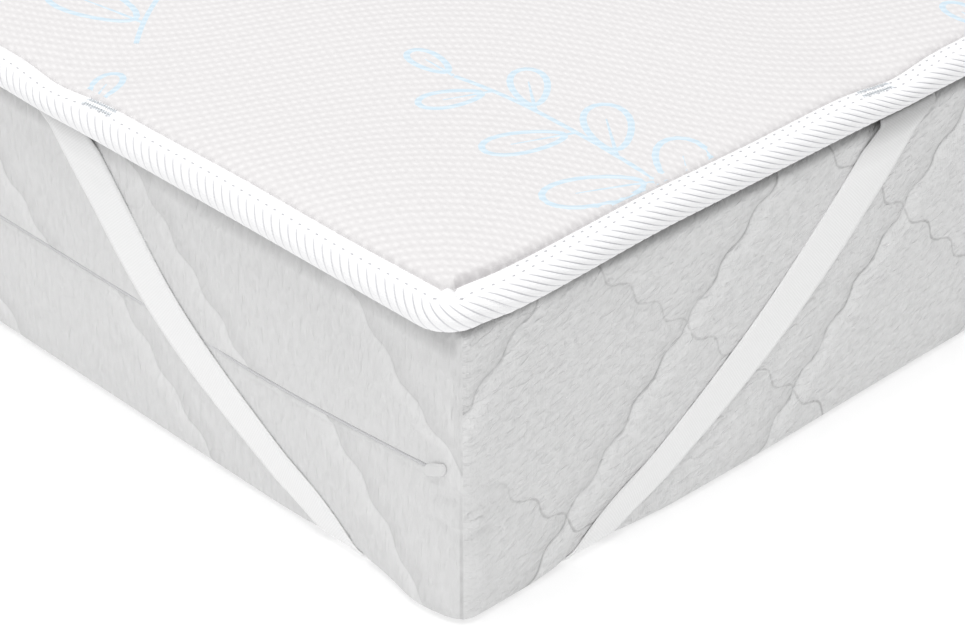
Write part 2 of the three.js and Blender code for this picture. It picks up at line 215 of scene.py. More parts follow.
# Sewing and weaving.
# How far a rib has run along the edge at a distance over the tape: for each millimetre, and for each
# squared, along the short sides and along the long ones.
RIB_SHEAR = ((0.85, 0.05), (1.12, -0.021))
STITCH_ROW = 8.2  # inward, where the tape is sewn down
STITCH_HEIGHT = 13.6
# The short sides' second row: inward, height, and how far from the corners it ends.
SECOND_ROW, SECOND_ROW_HEIGHT, SECOND_ROW_ENDS = 12.4, 14.35, 30
STITCH_WIDTH = 0.76
HOLE_LENGTH, HOLE_WIDTH = 2.2, 1.2
TACKS_FROM_CORNER = (285.0, 253.0)  # on the short sides and on the long ones
TACK_ROWS = ((9.6, 14.4, 2.4), (13.0, 15.0, 2.0))  # inward, height and width of the zigzag
TACK_TURNS = 25
TACK_STEP = 0.85
TACK_RADIUS = 0.25
PATH_STEP = 2.0  # between the points of a path that a thread or the coil follows

# A sprig: its stem's ends and bow, and where its leaves grow.
STEM_FROM, STEM_TO = -105, 100
STEM_BOW, STEM_BEND = 26, 72
LEAVES_AT = (-84, -60, -34, -8, 20, 48, 76, 100)
LEAF_LENGTH = 58
SPRIG_RISE = 0.22
SPRIG_EDGE = 16.5  # inward, where the tape's seam cuts the sprigs

# The stage.
FLOOR_REACH, FLOOR_LEVEL = 9000, -1
FLOOR_GLOW = 0.47
ROOM_GLOW = 0.47
# Each light's place and size, and its power in watts.
LIGHTS = (
    ("key_light", (-3.5, -2.7, 2.8), 1.6, 34),
    ("top_light", (-0.6, -0.8, 4.2), 3.0, 105),
)
LIGHTS_AIM = (-0.3, -0.8, 0.1)
CAMERA_PLACE = (-1.1992, -1.8014, 0.8570)
CAMERA_LOOK = (0.5839, 0.6136, -0.5316)
CAMERA_LENS, CAMERA_SENSOR = 111.63, 36


def linear(colour):
    """An sRGB hex colour as linear red, green, blue and alpha."""
    parts = [((colour >> shift) & 255) / 255 for shift in (16, 8, 0)]
    return [c / 12.92 if c <= 0.04045 else ((c + 0.055) / 1.055) ** 2.4 for c in parts] + [1.0]


# Sizes and colours that the panel offers.


class BedMattressSettings(bpy.types.PropertyGroup):
    quilt_depth: FloatProperty(
        name="Quilting depth", description="Depth of the sewn lines", default=0.0032, unit="LENGTH"
    )
    knit_colour: FloatVectorProperty(
        name="Cover", description="Colour of the knitted cover", subtype="COLOR", default=linear(0xE3E3E3)[:3]
    )


class BedTopperSettings(bpy.types.PropertyGroup):
    rib_pitch: FloatProperty(
        name="Rib pitch", description="From one rib of the tape to the next", default=0.00595, unit="LENGTH"
    )
    rib_depth: FloatProperty(
        name="Rib depth", description="Depth of the groove between ribs", default=0.0005, unit="LENGTH"
    )
    stitch_length: FloatProperty(
        name="Stitch length", description="Length of the thread that shows", default=0.0034, unit="LENGTH"
    )
    sprig_repeat: FloatProperty(
        name="Sprig repeat", description="From one woven sprig to the next", default=0.26, unit="LENGTH"
    )


SETTINGS = (("bed_mattress", BedMattressSettings), ("bed_topper", BedTopperSettings))


# Meshes.


def smooth_step(low, high, value):
    """From 0 where the value is low to 1 where it is high, with soft ends."""
    share = np.clip((value - low) / (high - low), 0, 1)
    return share * share * (3 - 2 * share)


def hump(value, middle, width):
    """A soft hump of height 1 round its middle."""
    return np.exp(-(((value - middle) / width) ** 2))


def ring_faces(rows, columns, rows_closed=False):
    """Quads between rows of points that each close round, with the corners of each face."""
    last = rows if rows_closed else rows - 1
    r, c = np.meshgrid(np.arange(last), np.arange(columns), indexing="ij")
    here, above = r * columns, ((r + 1) % rows) * columns
    quads = np.stack([here + c, here + (c + 1) % columns, above + (c + 1) % columns, above + c], -1)
    return quads.reshape(-1, 4)


def tube_faces(rows, columns):
    """The quads between rows, with a face over the first row and one over the last."""
    first, last = np.arange(columns)[::-1], np.arange((rows - 1) * columns, rows * columns)
    return [*ring_faces(rows, columns), first, last]


def quad_uvs(left, right, low, high):
    """A pair for each corner of each quad, in the order of its corners."""
    return np.stack([left, low, right, low, right, high, left, high], -1).reshape(-1, 2)


def mesh_piece(name, points, faces, materials, uvs=None):
    """A smooth-shaded mesh from points in millimetres. uvs holds one pair for each corner of each face."""
    mesh = bpy.data.meshes.new(name)
    mesh.from_pydata((np.asarray(points) * MM).tolist(), [], [list(map(int, f)) for f in faces])
    if uvs is not None:
        layer = mesh.uv_layers.new(name="UVMap")
        layer.data.foreach_set("uv", np.asarray(uvs, np.float32).ravel())
    for material in materials:
        mesh.materials.append(material)
    mesh.polygons.foreach_set("use_smooth", np.ones(len(mesh.polygons), bool))
    mesh.update()
    piece = bpy.data.objects.new(name, mesh)
    bpy.context.scene.collection.objects.link(piece)
    return piece


def mesh_path(name, lines, closed=None):
    """Lines of points as one mesh of edges, for a tree to follow."""
    points, edges = [], []
    for line, meets in zip(lines, closed or [False] * len(lines)):
        start, count = sum(len(p) for p in points), len(line)
        points.append(line)
        edges += [(start + k, start + (k + 1) % count) for k in range(count if meets else count - 1)]
    mesh = bpy.data.meshes.new(name)
    mesh.from_pydata((np.concatenate(points) * MM).tolist(), edges, [])
    piece = bpy.data.objects.new(name, mesh)
    bpy.context.scene.collection.objects.link(piece)
    return piece


def mark(piece, name, values):
    """Gives each point of a piece a number, for its material or its tree to read."""
    layer = piece.data.attributes.new(name, "FLOAT", "POINT")
    layer.data.foreach_set("value", np.ascontiguousarray(values, np.float32).ravel())


def face_outwards(piece):
    """Turns the faces of closed shapes outwards."""
    shape = bmesh.new()
    shape.from_mesh(piece.data)
    bmesh.ops.recalc_face_normals(shape, faces=shape.faces)
    shape.to_mesh(piece.data)
    shape.free()


def finish_piece(piece, slot, *nodes):
    """Puts a piece on the body, in place of the solids that it dresses. The slot is not used."""
    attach(piece, "root")
    if nodes:
        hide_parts(*nodes)


# Outlines with rounded corners.


MATTRESS_OUTLINE = (HALF_WIDTH, HALF_LENGTH, CORNER_RADIUS)
TOPPER_OUTLINE = (HALF_WIDTH + SIDE_OVERHANG, HALF_LENGTH + END_OVERHANG, TOPPER_RADIUS)
# Outward and onward directions of the sides, anticlockwise from the foot, and which are the long ones.
SIDES = (
    ((0, -1), (1, 0), False),
    ((1, 0), (0, 1), True),
    ((0, 1), (-1, 0), False),
    ((-1, 0), (0, -1), True),
)


def side_runs(outline):
    """The length of each side with the corner after it, and the corner's own length."""
    half_width, half_length, radius = outline
    arc = radius * math.pi / 2
    return [2 * (half_length if long else half_width) - 2 * radius + arc for _, _, long in SIDES], arc


def rim(run, inward, outline):
    """Places on an outline drawn in by inward, run being the length round the full outline. Returns
    x, y, the side, the place along that side from its middle, and the turn into its corner."""
    half_width, half_length, radius = outline
    lengths, arc = side_runs(outline)
    run = np.mod(run, sum(lengths))
    inward = np.broadcast_to(np.asarray(inward, float), run.shape)
    x, y, side = np.zeros(run.shape), np.zeros(run.shape), np.zeros(run.shape, int)
    along, turn = np.zeros(run.shape), np.zeros(run.shape)
    start = 0.0
    for index, ((ox, oy), (ax, ay), long) in enumerate(SIDES):
        mine = (run >= start) & (run < start + lengths[index])
        local, drawn = run[mine] - start, inward[mine]
        straight = lengths[index] - arc
        corner = np.maximum(radius - drawn, LEAST_RADIUS)
        reach = (half_width if long else half_length) - drawn
        half = (half_length if long else half_width) - drawn
        angle = np.clip((local - straight) / arc, 0, 1) * math.pi / 2
        onward = (np.minimum(local, straight) - straight / 2) * (half - corner) / (straight / 2)
        out = reach - corner + corner * np.cos(angle)
        onward = onward + corner * np.sin(angle)
        x[mine], y[mine] = ox * out + ax * onward, oy * out + ay * onward
        side[mine], along[mine], turn[mine] = index, onward, angle
        start += lengths[index]
    return x, y, side, along, turn


def topper_rim(run, inward, height):
    """Points of the topper's rim, drawn out and down where the straps are sewn on, and a little uneven."""
    _, _, side, along, turn = rim(run, inward, TOPPER_OUTLINE)
    long = side % 2 == 1
    attached = np.where(long, HALF_LENGTH - STRAP_ROUTE[0][1], HALF_WIDTH - STRAP_ROUTE[0][2])
    pull = hump(np.abs(along), attached, PULL_REACH) * (turn == 0)
    lean = pull * height / TOPPER_THICKNESS * np.exp(-inward / PULL_FADE)
    fade = np.exp(-inward / 40)
    # The foot end bows out beside its first corner and in along its middle.
    place = np.where(side == 0, along + HALF_WIDTH, 0)
    bow = 2.6 * smooth_step(8, 32, place) * hump(np.maximum(place, 38), 38, 42)
    bow -= 1.6 * smooth_step(75, 140, place) * smooth_step(880, 700, place)
    sway = (0.7 * np.sin(run / 47 + 1) + 0.5 * np.sin(run / 21 + 2) + 0.4 * np.sin(run / 83)) * fade
    drawn = inward - PULL_OUT * lean - bow * fade + 0.6 * sway * height / TOPPER_THICKNESS
    x, y, *_ = rim(run, drawn, TOPPER_OUTLINE)
    z = HEIGHT + CLEARANCE + height - PULL_DOWN * lean + 0.5 * sway * height / TOPPER_THICKNESS
    return x, y, z


# The straps' route.


def bulge_inset(height):
    """How far in from its middle height the mattress's side lies, because it bulges."""
    return SIDE_BULGE * ((height - HEIGHT / 2) / (HEIGHT / 2)) ** 2


def side_out(height):
    """How far out the middle of a strap's thickness lies on the side."""
    return STRAP_STAND_OFF + STRAP_THICKNESS / 2 - bulge_inset(height)


STRAP_LEVEL = STRAP_FLOOR_GAP + STRAP_THICKNESS / 2
STRAP_FOOT = STRAP_LEVEL + STRAP_EDGE_RADIUS
STRAP_EDGE_CENTRE = side_out(STRAP_FOOT) - STRAP_EDGE_RADIUS


def strap_profile():
    """Where a strap lies from the underside up the side: out, height and the run along it."""
    angle = np.linspace(0, math.pi / 2, 13)
    out = list(STRAP_EDGE_CENTRE + STRAP_EDGE_RADIUS * np.sin(angle))
    height = list(STRAP_FOOT - STRAP_EDGE_RADIUS * np.cos(angle))
    for up in np.linspace(STRAP_FOOT, STRAP_LEAVES_SIDE, 9)[1:]:
        out.append(side_out(up))
        height.append(up)
    tab = HEIGHT - STRAP_THICKNESS / 2
    for up in np.linspace(STRAP_LEAVES_SIDE, tab - STRAP_BEND, 5)[1:]:
        share = (up - STRAP_LEAVES_SIDE) / (tab - STRAP_BEND - STRAP_LEAVES_SIDE)
        out.append((1 - share) * side_out(STRAP_LEAVES_SIDE) + share * (STRAP_BEND_OUT + STRAP_BEND))
        height.append(up)
    for turn in np.linspace(0, math.pi / 2, 5)[1:]:
        out.append(STRAP_BEND_OUT + STRAP_BEND * math.cos(turn))
        height.append(tab - STRAP_BEND + STRAP_BEND * math.sin(turn))
    out.append(STRAP_BEND_OUT - STRAP_TAB)
    height.append(tab)
    out, height = np.array(out), np.array(height)
    run = np.concatenate([[0], np.cumsum(np.hypot(np.diff(out), np.diff(height)))])
    return out, height, run


PROFILE_OUT, PROFILE_HEIGHT, PROFILE_RUN = strap_profile()
STRAP_START = -PROFILE_OUT[0]


def on_profile(run, offset):
    """Out and height at a run of the profile from its start, offset away from the mattress."""
    along = np.interp(run, PROFILE_RUN, np.gradient(PROFILE_OUT, PROFILE_RUN))
    up = np.interp(run, PROFILE_RUN, np.gradient(PROFILE_HEIGHT, PROFILE_RUN))
    size = np.hypot(along, up)
    out = np.interp(run, PROFILE_RUN, PROFILE_OUT) + offset * up / size
    return out, np.interp(run, PROFILE_RUN, PROFILE_HEIGHT) - offset * along / size


def run_at(height):
    """The run along the profile at a height up the side."""
    return np.interp(height, PROFILE_HEIGHT[:-1], PROFILE_RUN[:-1])


def strap_line():
    """The strap's middle unrolled flat, as closely spaced points: distances from the long and short
    side, and the width."""
    flat = [(STRAP_START - run_at(h), long, wide) for h, long, _, wide in STRAP_ROUTE]
    flat += [(short, STRAP_START - run_at(h), wide) for h, _, short, wide in reversed(STRAP_ROUTE)]
    flat = np.array(flat, float)
    before, after = flat[0] - flat[1], flat[-1] - flat[-2]
    first = flat[0] + before * STRAP_RUN_ON / np.linalg.norm(before)
    last = flat[-1] + after * STRAP_RUN_ON / np.linalg.norm(after)
    knots = np.vstack([2 * first - flat[0], first, flat, last, 2 * last - flat[-1]])
    line = []
    for i in range(1, len(knots) - 2):
        gaps = [math.sqrt(np.linalg.norm(knots[i + k] - knots[i + k - 1])) for k in (0, 1, 2)]
        a, b, c, d = knots[i - 1 : i + 3]
        start = ((b - a) / gaps[0] - (c - a) / (gaps[0] + gaps[1]) + (c - b) / gaps[1]) * gaps[1]
        end = ((c - b) / gaps[1] - (d - b) / (gaps[1] + gaps[2]) + (d - c) / gaps[2]) * gaps[1]
        squared, cubed = 3 * (c - b) - 2 * start - end, 2 * (b - c) + start + end
        t = np.linspace(0, 1, 61)[:-1, None]
        line.append(b + start * t + squared * t**2 + cubed * t**3)
    return np.vstack([*line, knots[-2][None]])


STRAP_LINE = strap_line()
STRAP_HALF = STRAP_LINE[:, 2] / 2
STRAP_LINE = STRAP_LINE[:, :2]


def off_strap(x, y):
    """How far points of the unrolled mattress lie from the strap's middle, signed, how far along it,
    and half the strap's width there."""
    steps = np.diff(STRAP_LINE, axis=0)
    along = np.concatenate([[0], np.cumsum(np.hypot(*steps.T))])
    across, place, half = np.zeros(x.shape), np.zeros(x.shape), np.zeros(x.shape)
    # A few thousand points at a time, to spare memory.
    for k in range(0, x.size, 4000):
        some = slice(k, k + 4000)
        px, py = x.ravel()[some], y.ravel()[some]
        dx, dy = px[:, None] - STRAP_LINE[:, 0], py[:, None] - STRAP_LINE[:, 1]
        near = np.argmin(dx * dx + dy * dy, axis=1)
        near = np.clip(near, 1, len(STRAP_LINE) - 2)
        tangent = STRAP_LINE[near + 1] - STRAP_LINE[near - 1]
        tangent /= np.linalg.norm(tangent, axis=1)[:, None]
        ddx, ddy = px - STRAP_LINE[near, 0], py - STRAP_LINE[near, 1]
        across.ravel()[some] = tangent[:, 0] * ddy - tangent[:, 1] * ddx
        place.ravel()[some] = along[near] + tangent[:, 0] * ddx + tangent[:, 1] * ddy
        half.ravel()[some] = STRAP_HALF[near]
    return across, place, half


# Materials.


MATH = "ShaderNodeMath"
WAVE = "ShaderNodeTexWave"
NOISE = "ShaderNodeTexNoise"


def add(tree, kind, inputs=(), **settings):
    """Adds a node with its settings. Its inputs are values or sockets to link, in their order or by
    name. Gives the node's first output."""
    node = tree.nodes.new(kind)
    for key, value in settings.items():
        setattr(node, key, value)
    for key, value in inputs.items() if isinstance(inputs, dict) else enumerate(inputs):
        if isinstance(value, bpy.types.NodeSocket):
            tree.links.new(value, node.inputs[key])
        else:
            node.inputs[key].default_value = value
    return node.outputs[0]


def per_wave(pitch):
    """The scale that gives a wave texture one band for each pitch in millimetres."""
    return math.pi / (10 * pitch * MM)


def cloth(name, colour, roughness, sheen=0.15):
    """A matt cloth: rough, with a little sheen from the fibres that stand up from it."""
    material = bpy.data.materials.new(name)
    material.use_nodes = True
    tree = material.node_tree
    shader = tree.nodes["Principled BSDF"]
    shader.inputs["Base Color"].default_value = linear(colour)
    shader.inputs["Roughness"].default_value = roughness
    shader.inputs["IOR"].default_value = 1.5
    shader.inputs["Specular IOR Level"].default_value = 0.25
    shader.inputs["Sheen Weight"].default_value = sheen
    shader.inputs["Sheen Roughness"].default_value = 0.6
    return material, tree, shader.inputs


def dress(tree, shader, relief, depth, low, high, share=None):
    """Gives the cloth a relief of that depth in millimetres, and colours from its valleys to its tops."""
    bump = add(tree, "ShaderNodeBump", {"Height": relief, "Distance": depth * MM})
    tree.links.new(bump, shader["Normal"])
    share = relief if share is None else share
    mix = add(tree, "ShaderNodeMix", {0: share, 6: low, 7: high}, data_type="RGBA")
    tree.links.new(mix.node.outputs[2], shader["Base Color"])


def quilted_ticking(settings):
    """Knitted polyester ticking quilted to thin wadding: matt grey-white, with fine upright wales,
    small slanting wrinkles where the wadding takes up the slack, and sunk lines of sewing thread. Painted
    shade and light lie in its colour too: in the sewn lines, beside the rising lines, under the tape and
    down the corner seams."""
    material, tree, shader = cloth("quilted_knit_ticking", 0xFFFFFF, 0.95)
    low = [0.35 * c for c in settings.knit_colour] + [1.0]
    high = [1.07 * c for c in settings.knit_colour] + [1.0]
    uv = add(tree, "ShaderNodeUVMap", uv_map="UVMap")
    diamonds = (1 / (DIAMOND_WIDTH * MM), 1 / (DIAMOND_HEIGHT * MM), 0)
    place = add(tree, "ShaderNodeVectorMath", [uv, diamonds], operation="MULTIPLY")
    wide = add(tree, "ShaderNodeSeparateXYZ", [place])
    upward = wide.node.outputs[1]
    rising = add(tree, MATH, [wide, upward], operation="SUBTRACT")
    falling = add(tree, MATH, [wide, upward], operation="ADD")
    drawn = add(tree, "ShaderNodeAttribute", attribute_name="drawn").node.outputs["Fac"]
    covered = add(tree, "ShaderNodeAttribute", attribute_name="covered").node.outputs["Fac"]
    # Here and there the sewn lines fade, both their dent and their painted shade.
    patch = add(tree, NOISE, {"Vector": uv, "Scale": 16.0, "Detail": 1.0})
    shown = add(tree, "ShaderNodeMapRange", [patch, 0.38, 0.6, 0.5, 1.0])
    shown = add(tree, MATH, [shown, drawn], operation="MULTIPLY")
    sewn = []
    fainter = add(tree, MATH, [drawn, 0.85], operation="MULTIPLY")
    for across, other, wave, share in (
        (rising, falling, WAVE_SHARES[0], 1.0),
        (falling, rising, WAVE_SHARES[1], fainter),
    ):
        turns = add(tree, MATH, [other, 2 * math.pi * WAVES, WAVE_START], operation="MULTIPLY_ADD")
        sway = add(tree, MATH, [turns], operation="SINE")
        swayed = add(tree, MATH, [sway, wave, across], operation="MULTIPLY_ADD")
        off = add(tree, MATH, [swayed, 0.5], operation="PINGPONG")
        line = add(tree, "ShaderNodeMapRange", [off, 0.0, 1.1 / DIAMOND_SPREAD, share, 0.0],
                   interpolation_type="SMOOTHSTEP")
        sewn.append((swayed, add(tree, MATH, [line, shown], operation="MULTIPLY")))
    thread = add(tree, MATH, [sewn[0][1], sewn[1][1]], operation="MAXIMUM")
    # Painted light and shade: past a rising line the puffed knit is painted lighter, where it faces the
    # light, and before it darker, where it faces away.
    past = add(tree, MATH, [sewn[0][0]], operation="FRACT")
    light = add(tree, "ShaderNodeMapRange", [past, 0.01, 0.13, 0.5, 0.0], interpolation_type="SMOOTHSTEP")
    dark = add(tree, "ShaderNodeMapRange", [past, 0.86, 0.99, 0.0, 0.5], interpolation_type="SMOOTHSTEP")
    band = add(tree, MATH, [light, dark], operation="SUBTRACT")
    wrinkles = add(tree, "ShaderNodeUVMap", uv_map="Wrinkles")
    wrinkle = add(tree, NOISE, {
        "Vector": wrinkles, "Scale": 1.0, "Detail": 1.5, "Roughness": 0.5, "Distortion": 0.4,
    })
    wrinkle = add(tree, "ShaderNodeMapRange", [wrinkle, 0.28, 0.72, 0.0, 1.0])
    amount = add(tree, MATH, [drawn, 0.45, 0.5], operation="MULTIPLY_ADD")
    wrinkle = add(tree, MATH, [wrinkle, amount], operation="MULTIPLY")
    wale = add(tree, WAVE, {"Vector": uv, "Scale": per_wave(1.5)}, bands_direction="X")
    peel = add(tree, MATH, [wale, 0.06, wrinkle], operation="MULTIPLY_ADD")
    relief = add(tree, MATH, [thread, -0.5, peel], operation="MULTIPLY_ADD")
    shade = add(tree, MATH, [wrinkle, 0.15, 0.83], operation="MULTIPLY_ADD")
    shade = add(tree, MATH, [band, 0.18, shade], operation="MULTIPLY_ADD")
    # The sewn lines are painted darker, as the shade in their sunk creases.
    shade = add(tree, MATH, [thread, -0.4, shade], operation="MULTIPLY_ADD")
    # Painted shadow under the tape's overhang darkens the cover's top edge.
    shade = add(tree, MATH, [covered, -0.8, shade], operation="MULTIPLY_ADD")
    # The seam down each corner, painted as a dark line clearest low down: partly the seam itself, partly
    # painted shade in the crease where it draws the cover in.
    seam = add(tree, "ShaderNodeAttribute", attribute_name="seam").node.outputs["Fac"]
    seam = add(tree, MATH, [seam], operation="ABSOLUTE")
    seam = add(tree, "ShaderNodeMapRange", [seam, 0.0003, 0.0011, 1.0, 0.0], interpolation_type="SMOOTHSTEP")
    up = add(tree, "ShaderNodeTexCoord").node.outputs["Object"]
    up = add(tree, "ShaderNodeSeparateXYZ", [up]).node.outputs[2]
    low_down = add(tree, "ShaderNodeMapRange", [up, 0.03, 0.08, 0.5, 0.06])
    seam = add(tree, MATH, [seam, low_down], operation="MULTIPLY")
    uneven = add(tree, NOISE, {"Vector": uv, "Scale": 90.0})
    seam = add(tree, MATH, [seam, uneven], operation="MULTIPLY")
    shade = add(tree, MATH, [seam, -1.0, shade], operation="MULTIPLY_ADD")
    dress(tree, shader, relief, 1.0, low, high, shade)
    return material


def woven_elastic():
    """Woven polyester elastic: bright white, with fine ribs across it and smooth edges."""
    material, tree, shader = cloth("woven_elastic", 0xF7F7F7, 0.8)
    uv = add(tree, "ShaderNodeUVMap", uv_map="UVMap")
    across = add(tree, "ShaderNodeSeparateXYZ", [uv]).node.outputs[1]
    rib = add(tree, WAVE, {"Vector": uv, "Scale": per_wave(1.3)}, bands_direction="X")
    warp = add(tree, WAVE, {"Vector": uv, "Scale": per_wave(2.0)}, bands_direction="Y")
    weave = add(tree, MATH, [warp, 0.25, rib], operation="MULTIPLY_ADD")
    out = add(tree, MATH, [across], operation="ABSOLUTE")
    inner = add(tree, "ShaderNodeMapRange", [out, 0.0138, 0.0148, 1.0, 0.0])
    relief = add(tree, MATH, [weave, inner], operation="MULTIPLY")
    shade = add(tree, MATH, [relief, -0.08, 1.0], operation="MULTIPLY_ADD")
    # In the tape's shade.
    covered = add(tree, "ShaderNodeAttribute", attribute_name="covered").node.outputs["Fac"]
    shade = add(tree, MATH, [covered, -0.75, shade], operation="MULTIPLY_ADD")
    dress(tree, shader, relief, 0.04, linear(0xAEAEAE), linear(0xFCFCFC), shade)
    return material


def rice_knit():
    """Double knit of white yarn: rows of small raised grains, 4 mm apart in rows 6 mm apart, that run
    across the bed aslant in slow waves, over a faintly pink ground."""
    material, tree, shader = cloth("rice_grain_knit", 0xF4F2F2, 0.92)
    point = add(tree, "ShaderNodeTexCoord").node.outputs["Object"]
    turned = add(tree, "ShaderNodeMapping", {"Vector": point, "Rotation": (0, 0, math.radians(45))})
    along = add(tree, "ShaderNodeSeparateXYZ", [turned])
    across = along.node.outputs[1]
    drift = add(tree, MATH, [along, 2 * math.pi / (WAVE_LENGTH * MM), 2.2], operation="MULTIPLY_ADD")
    drift = add(tree, MATH, [drift], operation="COSINE")
    rows = add(tree, MATH, [drift, WAVE_HEIGHT * MM, across], operation="MULTIPLY_ADD")
    row = add(tree, MATH, [rows, 2 * math.pi / (ROW_PITCH * MM)], operation="MULTIPLY")
    row = add(tree, MATH, [row], operation="SINE")
    row = add(tree, MATH, [row, 0.5, 0.5], operation="MULTIPLY_ADD")
    # Each row's grains lie a little further on than the last row's.
    onward = add(tree, MATH, [rows, 0.37, along], operation="MULTIPLY_ADD")
    grain = add(tree, MATH, [onward, 2 * math.pi / (GRAIN_PITCH * MM)], operation="MULTIPLY")
    grain = add(tree, MATH, [grain], operation="SINE")
    grain = add(tree, MATH, [grain, 0.35, 0.65], operation="MULTIPLY_ADD")
    lump = add(tree, MATH, [row, grain], operation="MULTIPLY")
    # The yarn's fibres, drawn coarser than they are so that they show.
    fibre = add(tree, NOISE, {"Vector": point, "Scale": 330.0, "Detail": 3.0, "Roughness": 0.7})
    uneven = add(tree, "ShaderNodeMapRange", [fibre, 0.3, 0.7, -0.3, 0.3])
    lump = add(tree, MATH, [lump, uneven], operation="ADD")
    wall = add(tree, "ShaderNodeAttribute", attribute_name="wall").node.outputs["Fac"]
    shade = add(tree, MATH, [lump, 0.33, 0.64], operation="MULTIPLY_ADD")
    # The panel's wall over the tape's lip is painted darker, as shade.
    shade = add(tree, MATH, [wall, -0.55, shade], operation="MULTIPLY_ADD")
    dress(tree, shader, lump, 0.2, linear(0xC7C4C5), linear(0xEFEDED), shade)
    return material


def jacquard_float():
    """Pale blue yarn floated over the white knit in a fine slanting hatch."""
    material, tree, shader = cloth("pale_blue_jacquard_yarn", 0xD9E8F1, 0.85)
    point = add(tree, "ShaderNodeTexCoord").node.outputs["Object"]
    hatch = add(tree, WAVE, {"Vector": point, "Scale": per_wave(3.4)}, bands_direction="DIAGONAL")
    dress(tree, shader, hatch, 0.3, linear(0xCEE1ED), linear(0xDCEBF5))
    return material


def ribbed_tape(pitch):
    """Ribbed polyester binding tape: bright white, with its ribs in the mesh and fine yarns over them."""
    material, tree, shader = cloth("ribbed_binding_tape", 0xFFFFFF, 0.85)
    uv = add(tree, "ShaderNodeUVMap", uv_map="UVMap")
    yarn = add(tree, WAVE, {"Vector": uv, "Scale": per_wave(1.3)}, bands_direction="Y")
    twist = add(tree, WAVE, {"Vector": uv, "Scale": per_wave(1.54)}, bands_direction="X")
    weave = add(tree, MATH, [yarn, twist], operation="MULTIPLY")
    # Each groove between two ribs is painted as a thin grey line of shade, fainter on the long sides, which
    # face the light.
    along = add(tree, "ShaderNodeAttribute", attribute_name="rib").node.outputs["Fac"]
    raised = add(tree, "ShaderNodeAttribute", attribute_name="raised").node.outputs["Fac"]
    turns = add(tree, MATH, [along, 1 / pitch], operation="MULTIPLY")
    off = add(tree, MATH, [turns, 0.5], operation="PINGPONG")
    groove = add(tree, "ShaderNodeMapRange", [off, 0.03, 0.14, 1.0, 0.0], interpolation_type="SMOOTHSTEP")
    line = add(tree, MATH, [groove, raised], operation="MULTIPLY")
    clear = add(tree, MATH, [line, -1.0, 1.0], operation="MULTIPLY_ADD")
    dress(tree, shader, weave, 0.1, linear(0xC4C4C9), linear(0xFDFDFE), clear)
    return material


def sewing_thread(name, low, high):
    """Spun polyester thread: matt, with a fine slanting twist."""
    material, tree, shader = cloth(name, high, 0.75)
    point = add(tree, "ShaderNodeTexCoord").node.outputs["Object"]
    twist = add(tree, WAVE, {"Vector": point, "Scale": per_wave(0.7)}, bands_direction="DIAGONAL")
    dress(tree, shader, twist, 0.1, linear(low), linear(high))
    return material


def zip_coil():
    """Moulded nylon zip coil: grey and a little glossy."""
    material, tree, shader = cloth("nylon_zip_coil", 0xA8A8AA, 0.45, 0.0)
    point = add(tree, "ShaderNodeTexCoord").node.outputs["Object"]
    grain = add(tree, NOISE, {"Vector": point, "Scale": 300.0})
    dress(tree, shader, grain, 0.05, linear(0xD9D9DB), linear(0xE0E0E1))
    return material


# Geometry trees.


def open_tree(name, sizes):
    """A geometry tree with an input for its mesh, for each size and for the material."""
    tree = bpy.data.node_groups.new(name, "GeometryNodeTree")
    for label, kind in (("Mesh", "Geometry"), *((s, "Float") for s in sizes), ("Material", "Material")):
        tree.interface.new_socket(label, in_out="INPUT", socket_type=f"NodeSocket{kind}")
    tree.interface.new_socket("Mesh", in_out="OUTPUT", socket_type="NodeSocketGeometry")
    return tree, tree.nodes.new("NodeGroupInput").outputs


def grow(piece, tree, given, shape, values):
    """Ends the tree in plain faces of its material, runs it on the piece and keeps the result as the
    piece's own plain mesh."""
    faces = add(tree, "GeometryNodeRealizeInstances", [shape])
    faces = add(tree, "GeometryNodeSetMaterial", {"Geometry": faces, "Material": given["Material"]})
    tree.links.new(faces, tree.nodes.new("NodeGroupOutput").inputs[0])
    modifier = piece.modifiers.new(tree.name, "NODES")
    modifier.node_group = tree
    for item in tree.interface.items_tree:
        if item.in_out == "INPUT" and item.name in values:
            modifier[item.identifier] = values[item.name]
    plain = piece.data
    made = bpy.data.meshes.new_from_object(piece.evaluated_get(bpy.context.evaluated_depsgraph_get()))
    piece.modifiers.remove(modifier)
    piece.data = made
    bpy.data.meshes.remove(plain)
    made.name = piece.name
    made.polygons.foreach_set("use_smooth", np.ones(len(made.polygons), bool))


# The mattress.


def side_crossing(side, height):
    """Where the quilting's crossings lie on a side: along it and up it. The zip parts the long side."""
    above = height > ZIP_HEIGHT
    along = np.where(side == ZIP_SIDE, np.where(above, 139.0, 99.0), CROSSING_ALONG)
    up = np.where(side == ZIP_SIDE, np.where(above, 65.0, 78.0), CROSSING_UP)
    return along, up


def quilt_distances(u, v):
    """Signed distances in millimetres past the nearest rising and the nearest falling sewn line."""
    wide, high = u / DIAMOND_WIDTH, v / DIAMOND_HEIGHT
    past = []
    for across, other, share in zip((wide - high, wide + high), (wide + high, wide - high), WAVE_SHARES):
        swayed = across + share * np.sin(2 * math.pi * WAVES * other + WAVE_START)
        past.append((np.mod(swayed + 0.5, 1) - 0.5) * DIAMOND_SPREAD)
    return past


def zip_lift(from_corner):
    """How far the zip has risen at a distance from the corner."""
    return ZIP_RISE * np.maximum(1 - from_corner / ZIP_RISES_FROM, 0) ** 1.5


